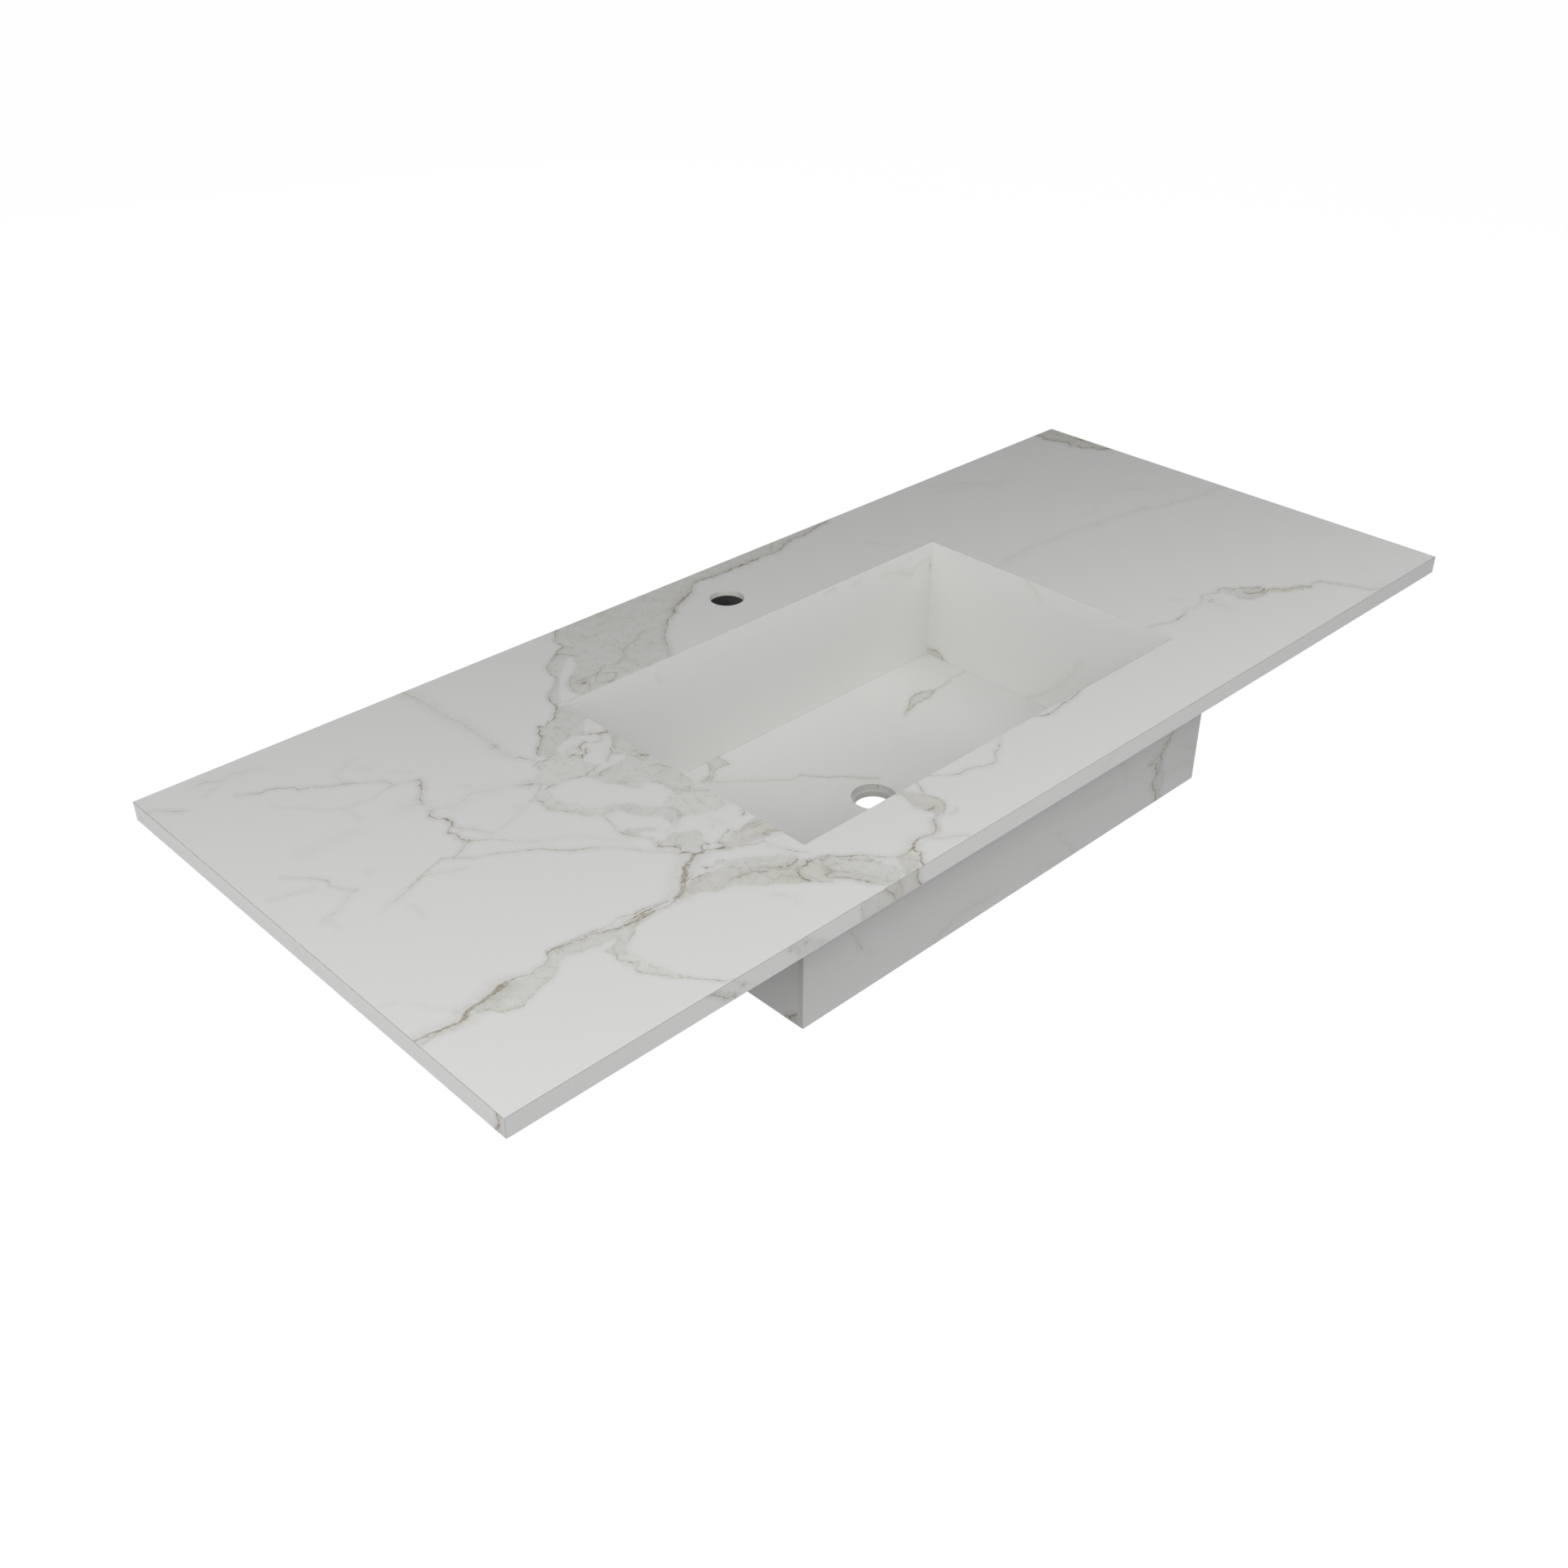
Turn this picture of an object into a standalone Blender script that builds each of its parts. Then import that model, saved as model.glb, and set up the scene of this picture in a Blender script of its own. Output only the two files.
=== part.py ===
"""Washbasin top of mitred porcelain slabs, glued over dark core boards.

A wide deck has a rectangular bowl sunk in it, boxed in by a casing under the deck.
Metres, +Z up, +X along the length, +Y to the wall that the top stands against.
The origin is under the middle of the deck, level with the casing's lower edge.
"""

import math

import bmesh
import bpy
from mathutils import Matrix
from mathutils.geometry import intersect_line_line

# The deck, seen from above
DECK_LENGTH = 1.210
FRONT_RIM = 0.085
BOWL_WIDTH = 0.310
BACK_RIM = 0.120
BOWL_LENGTH = 0.500
DECK_EDGE_HEIGHT = 0.018

# The slab stock and the glue between two pieces
SLAB_THICKNESS = 0.006
GLUE_LINE = 0.0003

# The bowl, from its rim down, and the casing round it
BOWL_WALL_HEIGHT = 0.136
FLOOR_FALL = 0.0055
WALL_CORE_THICKNESS = 0.0149
CASING_DROP = 0.005

# The holes
TAP_HOLE_DIAMETER = 0.035
TAP_HOLE_FROM_BACK = 0.065
DRAIN_HOLE_DIAMETER = 0.045
WASTE_HOLE_DIAMETER = 0.0385
BED_SET_BACK = 0.0225
HOLE_SEGMENTS = 64
CUT_OVERRUN = 0.002
MERGE_DISTANCE = 0.00005

# How far a slab's back reaches past its face at a side, as a share of its thickness
LEAN_IN_SHARE = -1
SQUARE_SHARE = 0
LEAN_OUT_SHARE = 1

# In this order, each side of the top is a quarter turn on from the one before
SIDES = ("front", "right", "back", "left")
QUARTER_TURN = math.pi / 2

# The collections that hold the pieces and the shapes that cut them
PIECES = "washbasin_top"
CUTTERS = "cutters"

# Two mitred arrises stand back from their common corner, to leave the glue its room
MITRE_SET_BACK = GLUE_LINE / math.sqrt(2)

DECK_DEPTH = FRONT_RIM + BOWL_WIDTH + BACK_RIM
BOWL_CENTRE_Y = (FRONT_RIM - BACK_RIM) / 2
TAP_HOLE_Y = DECK_DEPTH / 2 - TAP_HOLE_FROM_BACK
WALL_BUILD_UP = 2 * SLAB_THICKNESS + 2 * GLUE_LINE + WALL_CORE_THICKNESS
CASING_LENGTH = BOWL_LENGTH + 2 * WALL_BUILD_UP
CASING_WIDTH = BOWL_WIDTH + 2 * WALL_BUILD_UP

# Depths below the deck's top
UNDER_SLAB = -SLAB_THICKNESS - GLUE_LINE
DECK_UNDERSIDE = -DECK_EDGE_HEIGHT
FLOOR_EDGE = -BOWL_WALL_HEIGHT
BOTTOM_SLAB_TOP = FLOOR_EDGE - FLOOR_FALL - SLAB_THICKNESS
BOTTOM_SLAB_UNDERSIDE = BOTTOM_SLAB_TOP - SLAB_THICKNESS
CASING_FOOT = BOTTOM_SLAB_UNDERSIDE - CASING_DROP

# Colour, roughness and metallic value of each finish
FINISHES = {
    "porcelain": ((0.82, 0.82, 0.80, 1.0), 0.45, 0.0),
    "core_board": ((0.025, 0.025, 0.026, 1.0), 0.80, 0.0),
    "adhesive": ((0.45, 0.44, 0.42, 1.0), 0.90, 0.0),
}


def clear_scene():
    """Removes every object that the file opens with."""
    for old in list(bpy.data.objects):
        bpy.data.objects.remove(old, do_unlink=True)


def new_collection(name):
    """Makes a collection in the scene."""
    bpy.context.scene.collection.children.link(bpy.data.collections.new(name))


def put_in(collection_name, thing):
    """Links an object to a collection by name."""
    bpy.data.collections[collection_name].objects.link(thing)


def new_material(name, finish):
    """Makes a material of its own for one piece."""
    colour, roughness, metallic = FINISHES[finish]
    material = bpy.data.materials.new(name)
    material.use_nodes = True
    shader = material.node_tree.nodes["Principled BSDF"]
    shader.inputs["Base Color"].default_value = colour
    shader.inputs["Roughness"].default_value = roughness
    shader.inputs["Metallic"].default_value = metallic
    material.diffuse_color = colour
    return material


def new_datum(name, location):
    """Makes an empty that pieces are measured from."""
    datum = bpy.data.objects.new(name, None)
    datum.location = location
    put_in(PIECES, datum)
    return datum


def new_piece(name, mesh, finish, datum, location, turn=(0, 0, 0)):
    """Places a mesh as one named piece of the top."""
    piece = bpy.data.objects.new(name, mesh)
    piece.parent = datum
    piece.location = location
    piece.rotation_euler = turn
    mesh.materials.append(new_material(name, finish))
    put_in(PIECES, piece)
    return piece


def new_cutter(name, mesh, datum, location):
    """Places a mesh that only cuts other pieces."""
    cutter = bpy.data.objects.new(name, mesh)
    cutter.parent = datum
    cutter.location = location
    cutter.display_type = "WIRE"
    cutter.hide_render = True
    put_in(CUTTERS, cutter)
    return cutter


def cut(piece, cutter):
    """Cuts one shape out of a piece."""
    modifier = piece.modifiers.new(cutter.name, "BOOLEAN")
    modifier.operation = "DIFFERENCE"
    modifier.solver = "EXACT"
    modifier.object = cutter


def mesh_of(name, bm):
    """Turns finished mesh data into a named mesh."""
    mesh = bpy.data.meshes.new(name)
    bm.to_mesh(mesh)
    bm.free()
    return mesh


def mitred_mesh(name, width, height, thickness, ends=SQUARE_SHARE, top=SQUARE_SHARE,
                bottom=SQUARE_SHARE):
    """A slab whose face is centred on the origin and looks along +Z.

    A side that leans does so at 45 degrees, so the back is longer or shorter there by
    the slab's thickness.
    """
    bm = bmesh.new()
    bmesh.ops.create_cube(bm, size=1)
    for vertex in bm.verts:
        behind = vertex.co.z < 0
        lean = top if vertex.co.y > 0 else bottom
        half_width = width / 2 + (thickness * ends if behind else 0)
        half_height = height / 2 + (thickness * lean if behind else 0)
        vertex.co.x = math.copysign(half_width, vertex.co.x)
        vertex.co.y = math.copysign(half_height, vertex.co.y)
        vertex.co.z = -thickness if behind else 0
    return mesh_of(name, bm)


def round_mesh(name, diameter, height):
    """An upright cylinder, centred on the origin, for a drilled hole."""
    bm = bmesh.new()
    radius = diameter / 2
    bmesh.ops.create_cone(bm, cap_ends=True, segments=HOLE_SEGMENTS, radius1=radius,
                          radius2=radius, depth=height)
    return mesh_of(name, bm)


def board_mesh(name, size):
    """A plain board, centred on the origin."""
    bm = bmesh.new()
    bmesh.ops.create_cube(bm, size=1, matrix=Matrix.Diagonal((*size, 1)))
    return mesh_of(name, bm)


def board(name, finish, datum, low, high):
    """A plain board between two corners measured from a datum."""
    size = [top - bottom for bottom, top in zip(low, high)]
    centre = [(top + bottom) / 2 for bottom, top in zip(low, high)]
    return new_piece(name, board_mesh(name, size), finish, datum, centre)


def standing_slab(name, datum, side, looks_out, reach, width, top_edge, foot, **leans):
    """A slab on edge, with its face at a reach from the datum, on one side of it."""
    quarter_turns = SIDES.index(side)
    direction = Matrix.Rotation(quarter_turns * QUARTER_TURN, 3, "Z").col[1]
    facing = quarter_turns if looks_out else quarter_turns + 2
    location = -direction * reach
    location.z = (top_edge + foot) / 2
    mesh = mitred_mesh(name, width, top_edge - foot, SLAB_THICKNESS, **leans)
    return new_piece(name, mesh, "porcelain", datum, location,
                     (QUARTER_TURN, 0, facing * QUARTER_TURN))


def across(side, along_front, along_sides):
    """Picks the size that runs along the given side of a rectangle."""
    return along_front if side in ("front", "back") else along_sides


def build_deck(deck):
    """The top slab, its edge strips and the core boards under it."""
    slab = new_piece(
        "deck_slab",
        mitred_mesh("deck_slab", DECK_LENGTH - 2 * MITRE_SET_BACK,
                    DECK_DEPTH - 2 * MITRE_SET_BACK, SLAB_THICKNESS,
                    ends=LEAN_IN_SHARE, top=LEAN_IN_SHARE, bottom=LEAN_IN_SHARE),
        "porcelain", deck, (0, 0, 0))
    opening_grows = 2 * (MITRE_SET_BACK - CUT_OVERRUN)
    opening = new_cutter(
        "bowl_opening_cutter",
        mitred_mesh("bowl_opening_cutter", BOWL_LENGTH + opening_grows,
                    BOWL_WIDTH + opening_grows, SLAB_THICKNESS + 2 * CUT_OVERRUN,
                    ends=LEAN_OUT_SHARE, top=LEAN_OUT_SHARE, bottom=LEAN_OUT_SHARE),
        deck, (0, BOWL_CENTRE_Y, CUT_OVERRUN))
    cut(slab, opening)

    for side in SIDES:
        standing_slab(f"edge_strip_{side}", deck, side, True,
                      across(side, DECK_DEPTH, DECK_LENGTH) / 2,
                      across(side, DECK_LENGTH, DECK_DEPTH) - 2 * MITRE_SET_BACK,
                      -MITRE_SET_BACK, DECK_UNDERSIDE, ends=LEAN_IN_SHARE, top=LEAN_IN_SHARE)

    # The cores fill the deck between its edge strips and the casing
    core_end = DECK_LENGTH / 2 - SLAB_THICKNESS - GLUE_LINE
    core_side = DECK_DEPTH / 2 - SLAB_THICKNESS - GLUE_LINE
    casing_end = CASING_LENGTH / 2 + GLUE_LINE
    casing_front = BOWL_CENTRE_Y - CASING_WIDTH / 2 - GLUE_LINE
    casing_back = BOWL_CENTRE_Y + CASING_WIDTH / 2 + GLUE_LINE
    board("deck_core_front", "core_board", deck, (-core_end, -core_side, DECK_UNDERSIDE),
          (core_end, casing_front, UNDER_SLAB))
    back_core = board("deck_core_back", "core_board", deck,
                      (-core_end, casing_back, DECK_UNDERSIDE),
                      (core_end, core_side, UNDER_SLAB))
    butt_front = casing_front + GLUE_LINE
    butt_back = casing_back - GLUE_LINE
    board("deck_core_left", "core_board", deck, (-core_end, butt_front, DECK_UNDERSIDE),
          (-casing_end, butt_back, UNDER_SLAB))
    board("deck_core_right", "core_board", deck, (casing_end, butt_front, DECK_UNDERSIDE),
          (core_end, butt_back, UNDER_SLAB))

    tap_hole = new_cutter(
        "tap_hole_cutter",
        round_mesh("tap_hole_cutter", TAP_HOLE_DIAMETER, DECK_EDGE_HEIGHT + 2 * CUT_OVERRUN),
        deck, (0, TAP_HOLE_Y, DECK_UNDERSIDE / 2))
    cut(slab, tap_hole)
    cut(back_core, tap_hole)


def build_bowl_walls(bowl):
    """The four inner walls, mitred to the deck slab and to each other."""
    for side in SIDES:
        standing_slab(f"bowl_wall_{side}", bowl, side, False,
                      across(side, BOWL_WIDTH, BOWL_LENGTH) / 2,
                      across(side, BOWL_LENGTH, BOWL_WIDTH) - 2 * MITRE_SET_BACK,
                      -MITRE_SET_BACK, BOTTOM_SLAB_TOP + GLUE_LINE,
                      ends=LEAN_OUT_SHARE, top=LEAN_IN_SHARE)


def inset_corner(before, corner, after, inset_before, inset_after):
    """Moves a corner of a plan outline in, by one inset for each edge that meets there."""
    lines = []
    for start, end, inset in ((before, corner, inset_before), (corner, after, inset_after)):
        length = math.dist(start, end)
        inward = (-(end[1] - start[1]) * inset / length, (end[0] - start[0]) * inset / length)
        lines.append((start[0] + inward[0], start[1] + inward[1], 0))
        lines.append((end[0] + inward[0], end[1] + inward[1], 0))
    return intersect_line_line(*lines)[0]


def plate_mesh(name, outline, thickness):
    """A flat plate of a plan outline, with its upper face at z = 0."""
    curve = bpy.data.curves.new(name, "CURVE")
    curve.dimensions = "2D"
    curve.fill_mode = "BOTH"
    curve.extrude = thickness / 2
    spline = curve.splines.new("POLY")
    spline.points.add(len(outline) - 1)
    for point, place in zip(spline.points, outline):
        point.co = (*place.xy, 0, 1)
    spline.use_cyclic_u = True
    drawn = bpy.data.objects.new(name, curve)
    put_in(PIECES, drawn)
    bpy.context.view_layer.update()
    depsgraph = bpy.context.evaluated_depsgraph_get()
    filled = bpy.data.meshes.new_from_object(drawn.evaluated_get(depsgraph))
    bpy.data.objects.remove(drawn, do_unlink=True)
    bm = bmesh.new()
    bm.from_mesh(filled)
    bpy.data.meshes.remove(filled)
    bmesh.ops.remove_doubles(bm, verts=bm.verts, dist=MERGE_DISTANCE)
    bmesh.ops.translate(bm, verts=bm.verts, vec=(0, 0, -thickness / 2))
    bmesh.ops.recalc_face_normals(bm, faces=bm.faces)
    return mesh_of(name, bm)


def build_floor(bowl):
    """Four floor slabs pitched to the drain, and the bed of adhesive that carries them.

    The facets meet on the diagonals, so their joints are valleys. Each is drawn as a
    triangle with its base at a wall's foot, and then falls from there to the drain.
    """
    drain_height = BOWL_WALL_HEIGHT / 2
    drain = new_cutter("drain_hole_cutter",
                       round_mesh("drain_hole_cutter", DRAIN_HOLE_DIAMETER, drain_height),
                       bowl, (0, 0, FLOOR_EDGE))
    for quarter_turns, side in enumerate(SIDES):
        half_base = across(side, BOWL_LENGTH, BOWL_WIDTH) / 2
        run = across(side, BOWL_WIDTH, BOWL_LENGTH) / 2
        left, right, apex = (-half_base, 0), (half_base, 0), (0, run)
        joint = GLUE_LINE / 2
        outline = (inset_corner(apex, left, right, joint, GLUE_LINE),
                   inset_corner(left, right, apex, GLUE_LINE, joint),
                   inset_corner(right, apex, left, joint, joint))
        mesh = plate_mesh(f"floor_facet_{side}", outline, SLAB_THICKNESS)
        for vertex in mesh.vertices:
            vertex.co.z -= FLOOR_FALL * vertex.co.y / run
        direction = Matrix.Rotation(quarter_turns * QUARTER_TURN, 3, "Z").col[1]
        location = -direction * run
        location.z = FLOOR_EDGE
        facet = new_piece(f"floor_facet_{side}", mesh, "porcelain", bowl, location,
                          (0, 0, quarter_turns * QUARTER_TURN))
        cut(facet, drain)

    half_length = BOWL_LENGTH / 2 - GLUE_LINE
    half_width = BOWL_WIDTH / 2 - GLUE_LINE
    facet_underside = FLOOR_EDGE - SLAB_THICKNESS
    bed = board("floor_bed", "adhesive", bowl,
                (-half_length, -half_width, BOTTOM_SLAB_TOP + GLUE_LINE),
                (half_length, half_width, facet_underside))
    cut(bed, pitch_cutter(bowl, facet_underside - GLUE_LINE))
    bed_hole = new_cutter(
        "bed_hole_cutter",
        round_mesh("bed_hole_cutter", DRAIN_HOLE_DIAMETER + 2 * BED_SET_BACK, drain_height),
        bowl, (0, 0, FLOOR_EDGE))
    cut(bed, bed_hole)


def pitch_cutter(bowl, edge_height):
    """An upturned pyramid that slopes as the floor does, and stands over its edge."""
    sides_of_pyramid = 4
    overshoot_share = 1.5
    bm = bmesh.new()
    bmesh.ops.create_cone(bm, cap_ends=True, segments=sides_of_pyramid, radius1=0,
                          radius2=math.sqrt(2) / 2, depth=1)
    bmesh.ops.translate(bm, verts=bm.verts, vec=(0, 0, 1 / 2))
    bmesh.ops.rotate(bm, verts=bm.verts, matrix=Matrix.Rotation(QUARTER_TURN / 2, 3, "Z"))
    bmesh.ops.scale(bm, verts=bm.verts,
                    vec=(BOWL_LENGTH * overshoot_share, BOWL_WIDTH * overshoot_share,
                         FLOOR_FALL * overshoot_share))
    bmesh.ops.remove_doubles(bm, verts=bm.verts, dist=MERGE_DISTANCE)
    return new_cutter("pitch_cutter", mesh_of("pitch_cutter", bm), bowl,
                      (0, 0, edge_height - FLOOR_FALL))


def build_casing(bowl):
    """The boards round the bowl, the casing on them and the slab that closes it below."""
    inner_x = BOWL_LENGTH / 2 + SLAB_THICKNESS + GLUE_LINE
    inner_y = BOWL_WIDTH / 2 + SLAB_THICKNESS + GLUE_LINE
    outer_x = inner_x + WALL_CORE_THICKNESS
    outer_y = inner_y + WALL_CORE_THICKNESS
    foot = BOTTOM_SLAB_TOP + GLUE_LINE
    board("wall_core_front", "core_board", bowl, (-outer_x, -outer_y, foot),
          (outer_x, -inner_y, UNDER_SLAB))
    board("wall_core_back", "core_board", bowl, (-outer_x, inner_y, foot),
          (outer_x, outer_y, UNDER_SLAB))
    butt_y = inner_y - GLUE_LINE
    board("wall_core_left", "core_board", bowl, (-outer_x, -butt_y, foot),
          (-inner_x, butt_y, UNDER_SLAB))
    board("wall_core_right", "core_board", bowl, (inner_x, -butt_y, foot),
          (outer_x, butt_y, UNDER_SLAB))

    bottom = board("bottom_slab", "porcelain", bowl,
                   (-outer_x, -outer_y, BOTTOM_SLAB_UNDERSIDE),
                   (outer_x, outer_y, BOTTOM_SLAB_TOP))
    waste_hole = new_cutter(
        "waste_hole_cutter",
        round_mesh("waste_hole_cutter", WASTE_HOLE_DIAMETER,
                   SLAB_THICKNESS + 2 * CUT_OVERRUN),
        bowl, (0, 0, (BOTTOM_SLAB_TOP + BOTTOM_SLAB_UNDERSIDE) / 2))
    cut(bottom, waste_hole)

    # The front and back panels run the full length, and the side panels butt between them
    side_length = CASING_WIDTH - 2 * (SLAB_THICKNESS + GLUE_LINE)
    for side in SIDES:
        standing_slab(f"casing_{side}", bowl, side, True,
                      across(side, CASING_WIDTH, CASING_LENGTH) / 2,
                      across(side, CASING_LENGTH, side_length), UNDER_SLAB, CASING_FOOT)


def main():
    """Builds the whole top."""
    clear_scene()
    new_collection(PIECES)
    new_collection(CUTTERS)
    deck = new_datum("deck_datum", (0, 0, -CASING_FOOT))
    bowl = new_datum("bowl_datum", (0, BOWL_CENTRE_Y, -CASING_FOOT))
    build_deck(deck)
    build_bowl_walls(bowl)
    build_floor(bowl)
    build_casing(bowl)


main()
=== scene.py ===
"""Looks of a washbasin top made of mitred porcelain stoneware slabs.

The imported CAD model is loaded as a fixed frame. This script gives it its printed porcelain,
core boards and mortar, adds the epoxy joints between the slabs, and sets the studio and the
camera. It works in metres, +Z up; the veins of the print are drawn in millimetres on each face.
"""

from __future__ import annotations

import logging
import math
from collections.abc import Callable
from dataclasses import dataclass
from enum import Enum

import bmesh
import bpy
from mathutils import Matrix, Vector

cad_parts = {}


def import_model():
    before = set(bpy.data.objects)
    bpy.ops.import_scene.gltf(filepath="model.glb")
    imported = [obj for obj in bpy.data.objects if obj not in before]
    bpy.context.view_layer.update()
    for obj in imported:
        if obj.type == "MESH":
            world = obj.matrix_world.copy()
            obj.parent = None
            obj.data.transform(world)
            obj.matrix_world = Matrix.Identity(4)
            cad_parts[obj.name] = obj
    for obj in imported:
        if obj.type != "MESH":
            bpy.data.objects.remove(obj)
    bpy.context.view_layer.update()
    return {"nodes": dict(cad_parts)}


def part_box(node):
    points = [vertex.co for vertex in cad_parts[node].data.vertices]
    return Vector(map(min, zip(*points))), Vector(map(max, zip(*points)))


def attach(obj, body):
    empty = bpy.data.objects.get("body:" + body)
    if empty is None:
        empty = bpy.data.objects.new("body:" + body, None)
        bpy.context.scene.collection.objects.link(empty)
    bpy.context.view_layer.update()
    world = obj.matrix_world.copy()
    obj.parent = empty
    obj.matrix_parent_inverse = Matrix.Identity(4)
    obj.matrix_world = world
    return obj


LOG = logging.getLogger("washbasin_top")
BODY = "root"
MM = 0.001
WHITE = (1.0, 1.0, 1.0, 1.0)

# Past its ends a pen stroke's weight falls this far below nothing
PEN_UP = -4.0
# The weight that most strokes end with, from which their ends taper
END_WEIGHT = 0.6
# How far round a fill its haze reaches, in millimetres
HAZE_MM = 7.0
# A line is read a little wider than its ink, so it is drawn with this share of its reading
NIB = 0.95
# The shortest step along a stroke, as a share of the step itself, that still counts as onwards
LEAST_ADVANCE = 0.28
# Two shares of a chord that are closer than this are one
TOUCH = 1e-6
# A noise swings about this far to each side of its middle
NOISE_SWING = 0.25
# A wave texture's bands are this far apart at scale 1
WAVE_BAND = 0.314
# The numbers of a Mix node's two colour inputs, and of a Map Range node's two results
MIX_A, MIX_B = 6, 7
TO_MIN, TO_MAX = 3, 4
# A Mix node that stains one colour with another, and more so where the cover is over 1
STAIN = {"data_type": "RGBA", "blend_type": "MULTIPLY", "clamp_factor": False}

Point = tuple[float, float]
Inked = tuple[float, float, float]
Corner = tuple[float, float, float]
Span = tuple[float, float]
# The two values that a Map Range node starts from, and the two that it turns them to
Remap = tuple[float, float, float, float]
Socket = bpy.types.NodeSocket


def linear(hex_colour: str) -> tuple[float, float, float, float]:
    """Turns an sRGB hex colour to the linear one that the shaders work in.

    Args:
        hex_colour: the colour as "#rrggbb".

    Returns:
        Red, green, blue and alpha, linear, from 0 to 1.
    """
    parts = [int(hex_colour[i : i + 2], 16) / 255 for i in (1, 3, 5)]
    red, green, blue = (c / 12.92 if c <= 0.04045 else ((c + 0.055) / 1.055) ** 2.4 for c in parts)
    return red, green, blue, 1.0


def add_node(
    tree: bpy.types.NodeTree, kind: str, inputs: dict | list | tuple = (), **settings: object
) -> bpy.types.Node:
    """Adds a node with its settings, and sets or links its inputs.

    Args:
        tree: the node tree that it goes in.
        kind: the node's type, as Blender names it.
        inputs: a value, an output or a node, which gives its first output, for each input: in
            the order of the inputs, or by their names or numbers.
        settings: the node's own properties.

    Returns:
        The new node.
    """
    node = tree.nodes.new(kind)
    for name, value in settings.items():
        setattr(node, name, value)
    for key, value in inputs.items() if isinstance(inputs, dict) else enumerate(inputs):
        if isinstance(value, bpy.types.Node):
            value = value.outputs[0]
        if isinstance(value, bpy.types.NodeSocket):
            tree.links.new(value, node.inputs[key])
        else:
            node.inputs[key].default_value = value
    return node


def plot(node: bpy.types.Node, points: list[Point]) -> Socket:
    """Draws the curve of a Float Curve node through points, straight from one to the next.

    Args:
        node: the node.
        points: the curve's points, in order, their first numbers from 0 to 1.

    Returns:
        The node's output.
    """
    mapping = node.mapping
    mapping.use_clip = False
    mapping.extend = "HORIZONTAL"
    curve = mapping.curves[0]
    while len(curve.points) < len(points):
        curve.points.new(0.5, 0.5)
    for knot, place in zip(curve.points, points):
        knot.location = place
        knot.handle_type = "VECTOR"
    mapping.update()
    return node.outputs[0]


def blank_material(name: str) -> bpy.types.Material:
    """Makes a material whose node tree is empty.

    Args:
        name: the material's name.

    Returns:
        The material.
    """
    made = bpy.data.materials.new(name)
    made.use_nodes = True
    made.node_tree.nodes.clear()
    return made


def add_object(name: str, data: bpy.types.ID) -> bpy.types.Object:
    """Makes an object and links it to the scene.

    Args:
        name: the object's name.
        data: its mesh, lamp or camera.

    Returns:
        The object.
    """
    made = bpy.data.objects.new(name, data)
    bpy.context.scene.collection.objects.link(made)
    return made


class Ink(Enum):
    """Inks of the vein lines, as white slab looks under a stroke of full weight."""

    UMBER = "#c0b8aa"
    TAUPE = "#d9d4c8"
    SAGE = "#e8e8dc"
    GREY = "#edede9"


class Tone(Enum):
    """Tones of the flat fills between the veins, as white slab looks under them."""

    GREEN = "#f1f1ee"
    LIGHT = "#f8f8f5"
    BROWN = "#eeede8"
    TAN = "#e7e3dd"
    BARE = "#ffffff"


@dataclass(frozen=True)
class Vein:
    """One line of the print, as a pen would draw it: its points and how hard the pen is pressed."""

    ink: Ink
    half_mm: float
    path: tuple[Inked, ...]


@dataclass(frozen=True)
class Fill:
    """One flat fill of the print, by its two long edges, both from the same end."""

    tone: Tone
    edge: tuple[Point, ...]
    other: tuple[Point, ...]


@dataclass(frozen=True)
class Face:
    """A printed face: the corner its millimetres count from, its two directions and its normal."""

    start: Corner
    along: str
    up: str
    outward: Corner


@dataclass(frozen=True)
class Print:
    """What is printed on one face."""

    face: Face
    veins: tuple[Vein, ...] = ()
    fills: tuple[Fill, ...] = ()


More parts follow.
